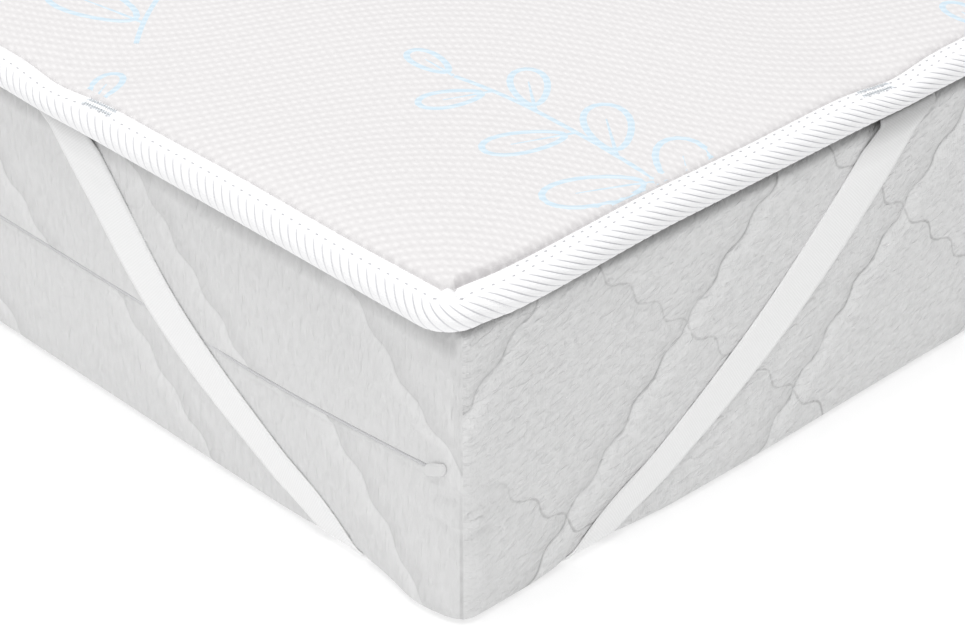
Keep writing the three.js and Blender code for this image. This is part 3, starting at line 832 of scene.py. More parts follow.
def cover_rows():
    """The cover's section from the underside up to the top. Each row has how far in and how high it
    lies, the same where a strap presses it, and how far it lies from the side once unrolled."""
    rows = []
    inner = STRAP_EDGE_RADIUS - STRAP_THICKNESS / 2 - CLEARANCE
    foot = bulge_inset(BOTTOM_EDGE_RADIUS)
    for inward in (150, 128, 110, 94, 80, 68, 56, 45, 35, 27, 20, 14, 9):
        rows.append((inward, 0, inward, STRAP_FOOT - inner, inward))
    for angle in np.linspace(0, math.pi / 2, 5):
        rows.append((
            foot + BOTTOM_EDGE_RADIUS * (1 - math.sin(angle)), BOTTOM_EDGE_RADIUS * (1 - math.cos(angle)),
            -STRAP_EDGE_CENTRE - inner * math.sin(angle), STRAP_FOOT - inner * math.cos(angle),
            STRAP_START - STRAP_EDGE_RADIUS * angle,
        ))
    near_zip = [ZIP_HEIGHT + step for step in (-6, -4, -2.8, -1.7, -0.8, 0, 0.8, 1.7, 2.8, 4, 6)]
    below = np.linspace(BOTTOM_EDGE_RADIUS, near_zip[0], 16)[1:-1]
    above = np.linspace(near_zip[-1], HEIGHT - TOP_EDGE_RADIUS, 19)[1:-1]
    for height in (*below, *near_zip, *above):
        share = (height - BOTTOM_EDGE_RADIUS) / (BED_TOP - BOTTOM_EDGE_RADIUS)
        up = height if share > 1 else STRAP_FOOT + share * (BED_TOP - STRAP_FOOT)
        rows.append((bulge_inset(height), height, bulge_inset(up), up, STRAP_START - run_at(up)))
    for angle in np.linspace(0, math.pi / 2, 7):
        inward = bulge_inset(HEIGHT - TOP_EDGE_RADIUS) + TOP_EDGE_RADIUS * (1 - math.cos(angle))
        height = HEIGHT - TOP_EDGE_RADIUS + TOP_EDGE_RADIUS * math.sin(angle)
        rows.append((inward, height, inward, height, STRAP_START - run_at(height)))
    return np.array(rows)


def cover_relief(depth, side, from_corner, seam, flat_in, flat_up, away):
    """How far the cover stands out from the foam's plain shape, at a distance along its side, from the
    nearest corner seam and from the strap. Depth is that of its sewn lines."""
    beside = side % 2 == 1
    cross_along, cross_up = side_crossing(side, flat_up)
    rising, falling = quilt_distances(from_corner - cross_along, flat_up - cross_up)
    puff = 1.2 * (1 - np.exp(-np.minimum(np.abs(rising), 1.6 * np.abs(falling)) / 18))
    puff -= depth * (0.55 * np.exp(-np.abs(rising) / 4.5) + 0.25 * np.exp(-np.abs(falling) / 4))
    puff += 1.0 * hump(rising, 9, 8) - 0.6 * hump(rising, -10, 9)
    puff += 0.5 * np.sin(from_corner / 23 + flat_up / 31) * np.sin(flat_up / 19 + 1 + side)
    level = smooth_step(3, 24, flat_up) * smooth_step(HEIGHT - 2, HEIGHT - 16, flat_up)
    free = 0.12 + 0.88 * smooth_step(-2, 18, away)
    relief = puff * level * free * np.where(beside, 0.7, 1.0)
    # The foam swells past its own edge low down, most of all between a strap and its corner.
    swell = np.where(beside, 1.2 + 4.6 * hump(seam, 24, 19), 2.2 + 1.6 * hump(seam, 190, 90))
    swell = swell * smooth_step(0, 9, seam) + 3.0 * (1 - smooth_step(0, 9, seam))
    swell = swell * hump(flat_up, 0, 48) * (1 - smooth_step(5, 15, flat_in))
    relief += swell * smooth_step(0, 18, away)
    # It lies flat round the zip's tab.
    zipped = side == ZIP_SIDE
    from_tab = np.abs(flat_up - ZIP_HEIGHT - 0.8 * ZIP_RISE)
    relief *= 1 - zipped * smooth_step(34, 22, seam) * smooth_step(14, 7, from_tab)
    # The corner seam draws the cover in, and gathers it into small folds low down.
    relief -= 1.3 * hump(seam, 0, 2.2) * level
    for low, slope, width, deep in CORNER_FOLDS:
        relief -= deep * hump(flat_up - low - slope * seam, 0, width) * hump(seam, 9, 15)
    # Two lips of the cover all but meet over the zip.
    rise = np.abs(flat_up - ZIP_HEIGHT)
    lips = 0.7 * hump(rise, 2.3, 1.3) - 1.3 * hump(rise, 0, 0.9)
    lips -= 0.5 * hump(flat_up - ZIP_HEIGHT, -4.6, 0.9)
    lips = lips * smooth_step(9, 16, seam) * free + relief * smooth_step(0, 8, rise)
    return np.where(zipped & (rise < 9), lips, relief)


def build_cover(settings):
    """The mattress's cover: rows of points round it, from a ring on its underside up to its top."""
    lengths, arc = side_runs(MATTRESS_OUTLINE)
    total, step = sum(lengths), sum(lengths) / COVER_COLUMNS
    rows = cover_rows()
    shape = (len(rows), COVER_COLUMNS)
    run = np.broadcast_to(np.arange(COVER_COLUMNS) * step, shape)
    section = (np.broadcast_to(rows[:, k, None], shape) for k in range(5))
    flat_in, flat_up, pressed_in, pressed_up, climb = section
    _, _, side, along, turn = rim(run, flat_in, MATTRESS_OUTLINE)
    long = side % 2 == 1
    from_end = np.where(long, HALF_LENGTH, HALF_WIDTH) - np.abs(along)
    away, _, half = off_strap(np.where(long, climb, from_end), np.where(long, from_end, climb))
    away = np.where(turn > 0, 99, np.abs(away) - half)
    cover = 1 - smooth_step(0.6, 7, away)
    inward = flat_in + (pressed_in - flat_in) * cover
    height = flat_up + (pressed_up - flat_up) * cover

    # The half of each corner past its seam belongs to the next side.
    side = np.where(turn > math.pi / 4, (side + 1) % 4, side)
    first = np.concatenate([[0], np.cumsum(lengths)])[:4] - arc / 2
    side_length = np.array(lengths)[side]
    from_start = np.mod(run - first[side], total)
    from_corner = np.where(side == ZIP_SIDE, side_length - from_start, from_start)
    seam = np.minimum(from_start, side_length - from_start)
    beside = side % 2 == 1
    drawn = np.where(beside, 0.3, 1.0)
    depth = settings.quilt_depth / MM * drawn
    relief = cover_relief(depth, side, from_corner, seam, flat_in, flat_up, away)
    lift = np.where(side == ZIP_SIDE, zip_lift(seam), 0) * hump(flat_up, ZIP_HEIGHT, 26)
    height = height + lift * smooth_step(0, 9, seam)
    x, y, *_ = rim(run, inward - relief, MATTRESS_OUTLINE)
    points = np.stack([x, y, height], -1).reshape(-1, 3)

    # Each face's pattern follows the side that its own column starts on.
    r, c = np.meshgrid(np.arange(shape[0] - 1), np.arange(COVER_COLUMNS), indexing="ij")
    mine = side[0][c]
    begin = np.mod(run[r, c] + 1e-6 - first[mine], total)
    ends = np.stack([begin, begin + step], -1)
    ends = np.where((mine == ZIP_SIDE)[..., None], np.array(lengths)[mine][..., None] - ends, ends)
    a0, v0 = side_crossing(mine, (flat_up[r, c] + flat_up[r + 1, c]) / 2)
    foot = bulge_inset(BOTTOM_EDGE_RADIUS) + BOTTOM_EDGE_RADIUS
    level_up = np.where(flat_up > 0, flat_up, foot - flat_in)
    uvs = quad_uvs(ends[..., 0] - a0, ends[..., 1] - a0, level_up[r, c] - v0, level_up[r + 1, c] - v0)
    faces = tube_faces(*shape)
    caps = points[np.concatenate(faces[-2:])][:, :2]
    uvs = np.vstack([uvs, caps]) * MM
    cover = mesh_piece("mattress_cover", points, faces, [quilted_ticking(settings)], uvs)

    # Wrinkles run along the short sides, and stand up on the long ones.
    upright = np.concatenate([np.repeat(mine.ravel() % 2 == 1, 4), np.zeros(len(caps), bool)])
    u, v = uvs.T / MM
    lean = math.radians(17)
    onward = (u * math.cos(lean) + v * math.sin(lean)) / 6.5
    lying = np.stack([onward, (v * math.cos(lean) - u * math.sin(lean)) / 2.7], -1)
    standing = np.stack([(v + 0.35 * u) / 9, u / 3.4], -1)
    layer = cover.data.uv_layers.new(name="Wrinkles")
    wrinkles = np.where(upright[:, None], standing, lying)
    layer.data.foreach_set("uv", wrinkles.astype(np.float32).ravel())
    by_corner = smooth_step(45, 10, seam) * smooth_step(100, 80, flat_up)
    mark(cover, "drawn", drawn * (1 - 0.65 * by_corner))
    # Painted shadow of the tape along the cover's top edge, stronger on the short sides.
    shaded = 0.45 * smooth_step(142, 151, flat_up), smooth_step(152.5, 157.5, flat_up)
    mark(cover, "covered", np.where(beside, *shaded))
    # Signed so that it runs through zero at each corner and turns in the middle of each side.
    mark(cover, "seam", np.where(beside, -1, 1) * seam * MM)
    finish_piece(cover, "mattress_cover", "mattress")


def build_zip():
    """The coil lies in the slit between the cover's lips, and its end is under a rounded tab."""
    reach = HALF_LENGTH - ZIP_FROM_CORNER
    out = -HALF_WIDTH + 0.5
    line = np.arange(-reach, reach, PATH_STEP)
    height = ZIP_HEIGHT + zip_lift(HALF_LENGTH - np.abs(line))
    path = mesh_path("mattress_zip_coil", [np.stack([np.full(line.shape, out), line, height], -1)])
    tree, given = open_tree("zip_coil", ("Turn pitch", "Coil width", "Wire radius"))
    curve = add(tree, "GeometryNodeMeshToCurve", [given["Mesh"]])
    spaced = {"Curve": curve, "Length": given["Turn pitch"]}
    spots = add(tree, "GeometryNodeCurveToPoints", spaced, mode="LENGTH")
    half = add(tree, MATH, [given["Coil width"], 0.5], operation="MULTIPLY")
    size = add(tree, "ShaderNodeCombineXYZ", [given["Wire radius"], given["Wire radius"], half])
    wire = add(tree, "GeometryNodeMeshIcoSphere", {"Radius": 1.0, "Subdivisions": 1})
    turns = add(tree, "GeometryNodeInstanceOnPoints", {"Points": spots, "Instance": wire, "Scale": size})
    grow(path, tree, given, turns, {
        "Turn pitch": COIL_PITCH * MM, "Coil width": COIL_WIDTH * MM, "Wire radius": COIL_RADIUS * MM,
        "Material": zip_coil(),
    })
    finish_piece(path, "zip", "mattress_zip")

    # The tab: rings of a rounded oblong that bulge outwards, from its back to its face.
    low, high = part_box("mattress_zip_tab")
    middle = (low + high) / (2 * MM)
    half_long, half_high = (high.y - low.y) / (2 * MM), (high.z - low.z) / (2 * MM)
    turn = np.linspace(0, 2 * math.pi, TAB_COLUMNS, endpoint=False)
    points = []
    for share, out in TAB_SECTION:
        across = 0.8 * half_high * share
        oblong = (half_long - half_high) * np.clip(3 * np.cos(turn), -1, 1)
        forth = oblong * (0.4 + 0.6 * share) + across * np.cos(turn)
        z = middle.z + TAB_LIFT + across * np.sin(turn) - TAB_TILT * forth
        points.append(np.stack([np.full(turn.shape, high.x / MM - out), middle.y + forth, z], -1))
    points = np.concatenate(points)
    faces = tube_faces(len(TAB_SECTION), TAB_COLUMNS)
    uvs = points[np.concatenate(faces)][:, 1:] * MM
    ticking = bpy.data.materials["quilted_knit_ticking"]
    tab = mesh_piece("mattress_zip_tab_cover", points, faces, [ticking], uvs)
    face_outwards(tab)
    mark(tab, "seam", np.ones(len(points)))
    finish_piece(tab, "zip_tab", "mattress_zip_tab")


# The topper.


def strap_grid(columns):
    """Rows across the unrolled strap, parallel to the mattress's edges where it climbs a side."""
    tangent = np.gradient(STRAP_LINE, axis=0)
    tangent /= np.linalg.norm(tangent, axis=1)[:, None]
    across = np.stack([-tangent[:, 1], tangent[:, 0]], -1) * STRAP_HALF[:, None]
    edges = (STRAP_LINE + across, STRAP_LINE - across)
    steps = np.arange(len(STRAP_LINE))
    # Even rows up the side, then the profile's own round the bend on top.
    runs = np.concatenate([np.linspace(0, PROFILE_RUN[-8], 60), PROFILE_RUN[-7:]])

    def reach(edge, axis, run):
        """Where along the strap one of its edges comes to a run of the profile."""
        gap = edge[:, axis] - (STRAP_START - run)
        i = np.nonzero(gap[:-1] * gap[1:] <= 0)[0][0]
        return i + gap[i] / (gap[i] - gap[i + 1])

    climb = [[reach(edge, 0, run) for edge in edges] for run in runs[::-1]]
    descent = [[reach(edge, 1, run) for edge in edges] for run in runs]
    under = [[a + (b - a) * k / 14 for a, b in zip(climb[-1], descent[0])] for k in range(1, 14)]
    at = np.array(climb + under + descent)
    sides = [
        np.stack([np.interp(at[:, k], steps, edge[:, axis]) for axis in (0, 1)], -1)
        for k, edge in enumerate(edges)
    ]
    share = np.linspace(0, 1, columns)[None, :, None]
    return sides[0][:, None] * (1 - share) + sides[1][:, None] * share


def rolled(flat, offset, corner):
    """Points of the unrolled strap laid round the mattress at a corner, offset away from it."""
    climb_long, climb_short = STRAP_START - flat[..., 0], STRAP_START - flat[..., 1]
    run = np.maximum(np.maximum(climb_long, climb_short), 0)
    out, height = on_profile(run, offset)
    from_long = np.where((climb_long > 0) & (climb_long >= climb_short), -out, flat[..., 0])
    from_short = np.where((climb_short > 0) & (climb_short > climb_long), -out, flat[..., 1])
    x = corner[0] * (HALF_WIDTH - from_long)
    y = corner[1] * (HALF_LENGTH - from_short)
    return np.stack([x, y, height], -1)


def build_straps():
    """The four straps: one flat course, laid round each corner of the mattress."""
    flat = strap_grid(STRAP_COLUMNS)
    across, along, half = off_strap(flat[..., 0], flat[..., 1])
    share = np.abs(across) / half
    # The yarns lie closer where the strap narrows.
    across = across * STRAP_HALF.max() / half
    material = woven_elastic()
    # Thicker at the selvedges, which curl in to the cover where the strap hangs free.
    thickness = 0.5 + 0.14 * smooth_step(0.8, 0.95, share)
    climb = STRAP_START - flat.min(-1)
    out, up = on_profile(np.maximum(climb, 0), -0.6)
    gap = (out + bulge_inset(up)) * smooth_step(90, 118, up) * smooth_step(158, 150, up)
    curl = 0.75 * gap * smooth_step(0.3, 1.0, share)
    for name, sign_x, sign_y in CORNERS:
        dent = 0.25 * np.sin(along / 31 + sign_x) * np.cos(across / 7 + sign_y)
        if name == "front_left":
            dent -= 1.6 * np.exp(-(((along - 94) / 9) ** 2) - (((across + 4) / 4) ** 2))
        lift = dent * (1 - share) - curl
        outside = rolled(flat, lift + thickness, (sign_x, sign_y))
        inside = rolled(flat, lift - thickness, (sign_x, sign_y))
        # Round the section: outside from edge to edge, then back along the inside.
        ring = np.concatenate([outside, inside[:, ::-1]], 1)
        faces = tube_faces(*ring.shape[:2])
        corners = np.concatenate(faces)
        uvs = [np.concatenate([place, place[:, ::-1]], 1).ravel()[corners] for place in (along, across)]
        uvs = np.stack(uvs, -1) * MM
        strap = mesh_piece(f"elastic_strap_{name}", ring.reshape(-1, 3), faces, [material], uvs)
        face_outwards(strap)
        # The strap's top is painted darker, as the shadow under the tape.
        mark(strap, "covered", smooth_step(142, 158, ring[..., 2]))
        finish_piece(strap, "elastic", f"corner_strap_{name}")


def refined(section, parts):
    """A section with every segment divided, its points still on its own straight segments' curve."""
    section = np.array(section, float)
    knots = np.vstack([2 * section[0] - section[1], section, 2 * section[-1] - section[-2]])
    made = []
    for a, b, c, d in zip(knots, knots[1:], knots[2:], knots[3:]):
        for t in np.arange(parts) / parts:
            made.append(b + 0.5 * t * (c - a + t * (2 * a - 5 * b + 4 * c - d + t * (3 * (b - c) + d - a))))
    return np.array([*made, section[-1]])


def binding_rows():
    """The folded tape's section: its outside from the lip below to the lip on top, then its inside."""
    fine = refined(TAPE_SECTION[2:9], 2)
    return np.vstack([TAPE_SECTION[:2], fine, TAPE_SECTION[9:]]), np.array(TAPE_INSIDE)


def build_binding(settings):
    """The tape folded round the panel's edge, with a whole number of ribs round the topper."""
    total = sum(side_runs(TOPPER_OUTLINE)[0])
    ribs = round(total / (settings.rib_pitch / MM))
    pitch = total / ribs
    outside, inside = binding_rows()
    section = np.vstack([outside, inside])
    steps = np.hypot(*np.diff(outside, axis=0).T)
    down = np.concatenate([[0], np.cumsum(steps)])
    sewn = int(np.argmin(np.abs(outside[:, 0] - STITCH_ROW) + (outside[:, 1] < 6) * 99))
    from_row = np.maximum(down[sewn] - down, 0)
    from_row = np.concatenate([from_row, np.interp(inside[:, 0], [0, 14], [18, 0])])
    phase = (np.arange(ribs)[:, None] + RIB_COLUMNS).ravel()
    run = phase * pitch
    _, _, side, along, _ = rim(run, 0, TOPPER_OUTLINE)
    ends = np.where(side % 2 == 1, TOPPER_OUTLINE[1], TOPPER_OUTLINE[0]) - np.abs(along)
    beside = np.where(side % 2 == 1, 1, -1) * smooth_step(0, 60, ends) / 2 + 0.5
    reach = np.minimum(from_row, 17)[:, None]
    short, long = (a * reach + b * reach**2 for a, b in RIB_SHEAR)
    run = run + short + (long - short) * beside
    inward = np.broadcast_to(section[:, :1], run.shape)
    rise = np.broadcast_to(section[:, 1:], run.shape).copy()
    # At each corner the tape is folded over itself: a raised mitre between two nicks.
    turn = rim(run, inward, TOPPER_OUTLINE)[4]
    top = np.nonzero((outside[:, 1] > 10) & (outside[:, 0] > 3))[0]
    inner = smooth_step(5, 11, inward) * np.isin(np.arange(len(section)), top)[:, None]
    for at, width, high in TAPE_MITRE:
        rise += high * hump(turn, at, width) * inner
    points = np.stack(topper_rim(run, inward, rise), -1).reshape(-1, 3)
    rows, columns = run.shape
    faces = ring_faces(rows, columns, rows_closed=True)
    around = np.concatenate([down, down[-1] + 1 + np.cumsum(np.hypot(*np.diff(inside, axis=0).T)), [0]])
    r, c = np.meshgrid(np.arange(rows), np.arange(columns), indexing="ij")
    left, right = phase[c] * pitch, np.append(phase, ribs)[c + 1] * pitch
    low, high = around[r], np.append(around[:rows], around[rows - 1] + 1)[r + 1]
    uvs = quad_uvs(left, right, low, high) * MM
    tape = mesh_piece("edge_binding_tape", points, faces, [ribbed_tape(pitch * MM)], uvs)
    # How deep the grooves sink, and how dark their painted shade; less on the long sides, which face the
    # light.
    share = smooth_step(2.4, 4.4, from_row) * (1 - 0.5 * smooth_step(9, 14, from_row))
    share = share * (np.arange(rows) < len(outside))
    mark(tape, "rib", np.broadcast_to(phase * pitch * MM, run.shape))
    mark(tape, "raised", share[:, None] * (1 - 0.3 * beside))

    # Between the ribs the tape sinks in along its own normal.
    tree, given = open_tree("tape_ribs", ("Rib pitch", "Rib depth"))
    place = add(tree, "GeometryNodeInputNamedAttribute", {"Name": "rib"})
    raised = add(tree, "GeometryNodeInputNamedAttribute", {"Name": "raised"})
    turns = add(tree, MATH, [place, given["Rib pitch"]], operation="DIVIDE")
    off = add(tree, MATH, [turns, 0.5], operation="PINGPONG")
    sunk = add(tree, "ShaderNodeMapRange", [off, 0.0, 0.22, 1.0, 0.0], interpolation_type="SMOOTHERSTEP")
    deep = add(tree, MATH, [given["Rib depth"], -1.0], operation="MULTIPLY")
    deep = add(tree, MATH, [deep, sunk], operation="MULTIPLY")
    deep = add(tree, MATH, [deep, raised], operation="MULTIPLY")
    normal = add(tree, "GeometryNodeInputNormal")
    move = add(tree, "ShaderNodeVectorMath", {0: normal, "Scale": deep}, operation="SCALE")
    ribbed = add(tree, "GeometryNodeSetPosition", {"Geometry": given["Mesh"], "Offset": move})
    grow(tape, tree, given, ribbed, {
        "Rib pitch": pitch * MM, "Rib depth": settings.rib_depth,
        "Material": bpy.data.materials["ribbed_binding_tape"],
    })
    finish_piece(tape, "binding_tape", "edge_binding")


def build_panel():
    """The padded panel: under the tape, then its wall over the tape's lip, then its soft top."""
    run = np.arange(PANEL_COLUMNS) * sum(side_runs(TOPPER_OUTLINE)[0]) / PANEL_COLUMNS
    hidden = [(inward, height, height) for inward, height in PANEL_HIDDEN]
    top = refined(PANEL_SECTION[1:6], 2)[:-1]
    middle = [(inward, TOPPER_THICKNESS, TOPPER_THICKNESS) for inward in np.arange(74, 452, 14)]
    section = np.vstack([hidden, PANEL_SECTION[:1], top, PANEL_SECTION[5:], middle])
    inward = np.broadcast_to(section[:, :1], (len(section), PANEL_COLUMNS))
    run = np.broadcast_to(run, inward.shape)
    x, y, side, along, turn = rim(run, inward, TOPPER_OUTLINE)
    half = np.where(side % 2 == 1, TOPPER_OUTLINE[1], TOPPER_OUTLINE[0])
    corner = np.where(turn > 0, 1.0, np.exp(-((np.minimum(half - np.abs(along), 400) / 75) ** 1.5)))
    height = section[:, 1:2] + (section[:, 2:] - section[:, 1:2]) * corner
    x, y, z = topper_rim(run, inward, height)
    soft = smooth_step(17, 60, inward) * smooth_step(436, 360, inward) * (inward > 13)
    z = z + soft * (0.8 * np.sin(x / 38 + 1) * np.sin(y / 51) + 0.6 * np.sin((x + y) / 73 + 2))
    points = np.stack([x, y, z], -1).reshape(-1, 3)
    # The long strip left in the middle of the top is filled with even triangles.
    faces = tube_faces(*inward.shape)
    strip = faces.pop()
    corners = [Vector(points[k][:2]) for k in strip]
    _, _, fill, origins, *_ = delaunay_2d_cdt(corners, [], [list(range(len(strip)))], 1, 1e-4)
    faces += [[strip[origins[k][0]] for k in face] for face in fill]
    panel = mesh_piece("padded_panel", points, faces, [rice_knit()])
    # Painted shade on the wall over the tape's lip: strongest on the short sides by the corners, faint on the
    # long sides, which face the light.
    wall = smooth_step(13.5, 14.6, inward) * smooth_step(18.5, 16.8, inward)
    mark(panel, "wall", wall * np.where(side % 2 == 1, 0.1, 0.2 + 0.8 * corner))
    finish_piece(panel, "topper_knit", "topper_pad")


def band(path, width, rise, closed):
    """A flat raised band along a path, as four rows of points: its edges, its crown and its back."""
    path = np.asarray(path, float)
    onward = np.roll(path, -1, 0) - np.roll(path, 1, 0) if closed else np.gradient(path, axis=0)
    onward = onward / np.maximum(np.linalg.norm(onward, axis=1)[:, None], 1e-9)
    across = np.stack([-onward[:, 1], onward[:, 0]], -1) * np.reshape(width, (-1, 1)) / 2
    flat = np.zeros((len(path), 1))
    rows = ((path + across, flat), (path, flat + rise), (path - across, flat), (path, flat - rise))
    return np.stack([np.hstack(row) for row in rows], 1)


def band_mesh(name, bands):
    """Bands as one closed mesh, each with whether it meets its own start."""
    points, faces = [], []
    for rows, closed in bands:
        start, count = sum(len(p) for p in points), len(rows)
        points.append(rows.reshape(-1, 3))
        for i in range(count if closed else count - 1):
            for k in range(4):
                a, b = start + i * 4, start + (i + 1) % count * 4
                faces.append((a + k, b + k, b + (k + 1) % 4, a + (k + 1) % 4))
        if not closed:
            end = start + 4 * (count - 1)
            faces += [range(start + 3, start - 1, -1), range(end, end + 4)]
    made = mesh_piece(name, np.concatenate(points), faces, [])
    face_outwards(made)
    return made


def sprig():
    """One woven sprig lying flat round its middle: a bowed stem with a leaf at each step."""
    up = np.linspace(STEM_FROM, STEM_TO, 26)
    stem = np.stack([STEM_BOW * np.sin(up / STEM_BEND), up], -1)
    bands = [(band(stem, 2.8, SPRIG_RISE, False), False)]
    for k, at in enumerate(LEAVES_AT):
        side = 1 if k % 2 else -1
        root = np.array([STEM_BOW * math.sin(at / STEM_BEND), at])
        lean = math.radians(90 - side * 52) if at < STEM_TO else math.radians(72)
        size = LEAF_LENGTH - 0.16 * (at - LEAVES_AT[0])
        ahead = np.array([math.cos(lean), math.sin(lean)])
        beside = np.array([-ahead[1], ahead[0]])
        turn = np.linspace(0, 2 * math.pi, 22, endpoint=False)
        forward = (1 - np.cos(turn)) / 2 * size + 6
        wide = np.sin(turn) * (1 - 0.25 * np.cos(turn)) * 0.24 * size
        leaf = root + forward[:, None] * ahead + wide[:, None] * beside
        bands.append((band(leaf, 3.4, SPRIG_RISE, True), True))
        rib = np.linspace(1, 0.8 * size, 7)
        bands.append((band(root + rib[:, None] * ahead, np.linspace(2.2, 0.8, 7), 0.2, False), False))
    return band_mesh("woven_sprig_pattern", bands)


def build_sprigs(settings):
    """Sprigs in a half-drop repeat, cut where the panel goes under the tape, laid on its surface."""
    pattern = sprig()
    step = settings.sprig_repeat / MM
    spots, turns = [], []
    for column in range(-3, 4):
        for row in range(-5, 6):
            spots.append((column * step * 0.9 - 76, (row + (column % 2) / 2) * step * 1.15 + 96, 0))
            turns.append(0.5 * (-1) ** row - 0.25)
    piece = mesh_piece("woven_sprigs", spots, [], [])
    mark(piece, "turned", turns)
    tree, given = open_tree("sprig_repeat", ("Size",))
    motif = add(tree, "GeometryNodeObjectInfo", {"Object": pattern}).node.outputs["Geometry"]
    angle = add(tree, "GeometryNodeInputNamedAttribute", {"Name": "turned"})
    angle = add(tree, "ShaderNodeCombineXYZ", {"Z": angle})
    many = add(tree, "GeometryNodeInstanceOnPoints", {
        "Points": given["Mesh"], "Instance": motif, "Rotation": angle, "Scale": given["Size"],
    })
    grow(piece, tree, given, many, {"Size": 1.0, "Material": jacquard_float()})
    bpy.data.objects.remove(pattern)

    shape = bmesh.new()
    shape.from_mesh(piece.data)
    for axis in (0, 1):
        for sign in (-1, 1):
            plane = Vector((0, 0, 0))
            plane[axis] = sign
            everything = [*shape.verts, *shape.edges, *shape.faces]
            edge = plane * (TOPPER_OUTLINE[axis] - SPRIG_EDGE) * MM
            bmesh.ops.bisect_plane(shape, geom=everything, plane_co=edge, plane_no=plane, clear_outer=True)
            open_edges = [e for e in shape.edges if e.is_boundary]
            bmesh.ops.holes_fill(shape, edges=open_edges, sides=0)
    panel = bpy.data.objects["padded_panel"]
    for vertex in shape.verts:
        above = Vector((vertex.co.x, vertex.co.y, 1))
        hit, place, _, _ = panel.ray_cast(above, Vector((0, 0, -1)))
        if not hit:
            raise RuntimeError("a sprig lies off the panel")
        vertex.co.z += place.z
    shape.to_mesh(piece.data)
    shape.free()
    piece.data.polygons.foreach_set("use_smooth", np.zeros(len(piece.data.polygons), bool))
    finish_piece(piece, "topper_knit")


def rim_path(start, end, inward, rise):
    """Points along the topper's rim between two runs."""
    run = np.arange(start, end, PATH_STEP)
    return np.stack(topper_rim(run, np.full(run.shape, inward), np.full(run.shape, rise)), -1)


def build_stitches(settings):
    """The rows that sew the tape down: a stitch of thread, then the hole where it goes under, drawn as a grey
    blob of painted shade.
    """
    lengths, arc = side_runs(TOPPER_OUTLINE)
    total = sum(lengths)
    pitch = total / round(total / (settings.rib_pitch / MM))
    white = sewing_thread("white_sewing_thread", 0xF6F6F7, 0xFFFFFF)
    # The holes are grey blobs painted as the shade in each needle hole.
    dark = sewing_thread("needle_holes", 0xC6C6CA, 0xD4D4D8)
    for name, half_long, half_wide, start, material in (
        ("binding_stitches", settings.stitch_length / 2, STITCH_WIDTH / 2 * MM, 0, white),
        ("binding_needle_holes", HOLE_LENGTH / 2 * MM, HOLE_WIDTH / 2 * MM, pitch / 2, dark),
    ):
        lines = [rim_path(start, start + total, STITCH_ROW, STITCH_HEIGHT)]
        for first in (0, lengths[0] + lengths[1]):
            low = first + start + SECOND_ROW_ENDS
            high = first + start + lengths[0] - arc - SECOND_ROW_ENDS
            lines.append(rim_path(low, high, SECOND_ROW, SECOND_ROW_HEIGHT))
        path = mesh_path(name, lines, [True, False, False])
        tree, given = open_tree(name, ("Stitch pitch", "Half length", "Half width"))
        curve = add(tree, "GeometryNodeMeshToCurve", [given["Mesh"]])
        spaced = {"Curve": curve, "Length": given["Stitch pitch"]}
        spots = add(tree, "GeometryNodeCurveToPoints", spaced, mode="LENGTH")
        tangent = spots.node.outputs["Tangent"]
        turn = add(tree, "FunctionNodeAlignRotationToVector", {"Vector": tangent}, axis="X")
        sizes = [given["Half length"], given["Half width"], given["Half width"]]
        size = add(tree, "ShaderNodeCombineXYZ", sizes)
        thread = add(tree, "GeometryNodeMeshUVSphere", {"Segments": 6, "Rings": 4, "Radius": 1.0})
        sewn = add(tree, "GeometryNodeInstanceOnPoints", {
            "Points": spots, "Instance": thread, "Rotation": turn, "Scale": size,
        })
        grow(path, tree, given, sewn, {
            "Stitch pitch": pitch * MM, "Half length": half_long, "Half width": half_wide,
            "Material": material,
        })
        finish_piece(path, "binding_tape")


def build_tacks():
    """Close zigzag stitching that holds each strap's end under the tape."""
    lengths, arc = side_runs(TOPPER_OUTLINE)
    starts = np.concatenate([[0], np.cumsum(lengths)])
    tacks = []
    for side, (_, _, long) in enumerate(SIDES):
        reach = (HALF_LENGTH if long else HALF_WIDTH) - TACKS_FROM_CORNER[long]
        middle = starts[side] + (lengths[side] - arc) / 2
        for sign in (-1, 1):
            place = middle + sign * reach
            for inward, height, wide in TACK_ROWS:
                k = np.arange(TACK_TURNS)
                run = place + (k - TACK_TURNS // 2) * TACK_STEP
                across = inward + wide / 2 * np.where(k % 2, 1, -1)
                tacks.append(np.stack(topper_rim(run, across, np.full(TACK_TURNS, height)), -1))
    path = mesh_path("strap_tacks", tacks)
    tree, given = open_tree("strap_tacks", ("Thread radius",))
    curve = add(tree, "GeometryNodeMeshToCurve", [given["Mesh"]])
    ring = add(tree, "GeometryNodeCurvePrimitiveCircle", {"Resolution": 6, "Radius": given["Thread radius"]})
    thread = add(tree, "GeometryNodeCurveToMesh", {"Curve": curve, "Profile Curve": ring, "Fill Caps": True})
    blue = sewing_thread("pale_blue_thread", 0xE8EFF5, 0xF5F9FC)
    grow(path, tree, given, thread, {"Thread radius": TACK_RADIUS * MM, "Material": blue})
    face_outwards(path)
    finish_piece(path, "binding_tape")


# The stage.


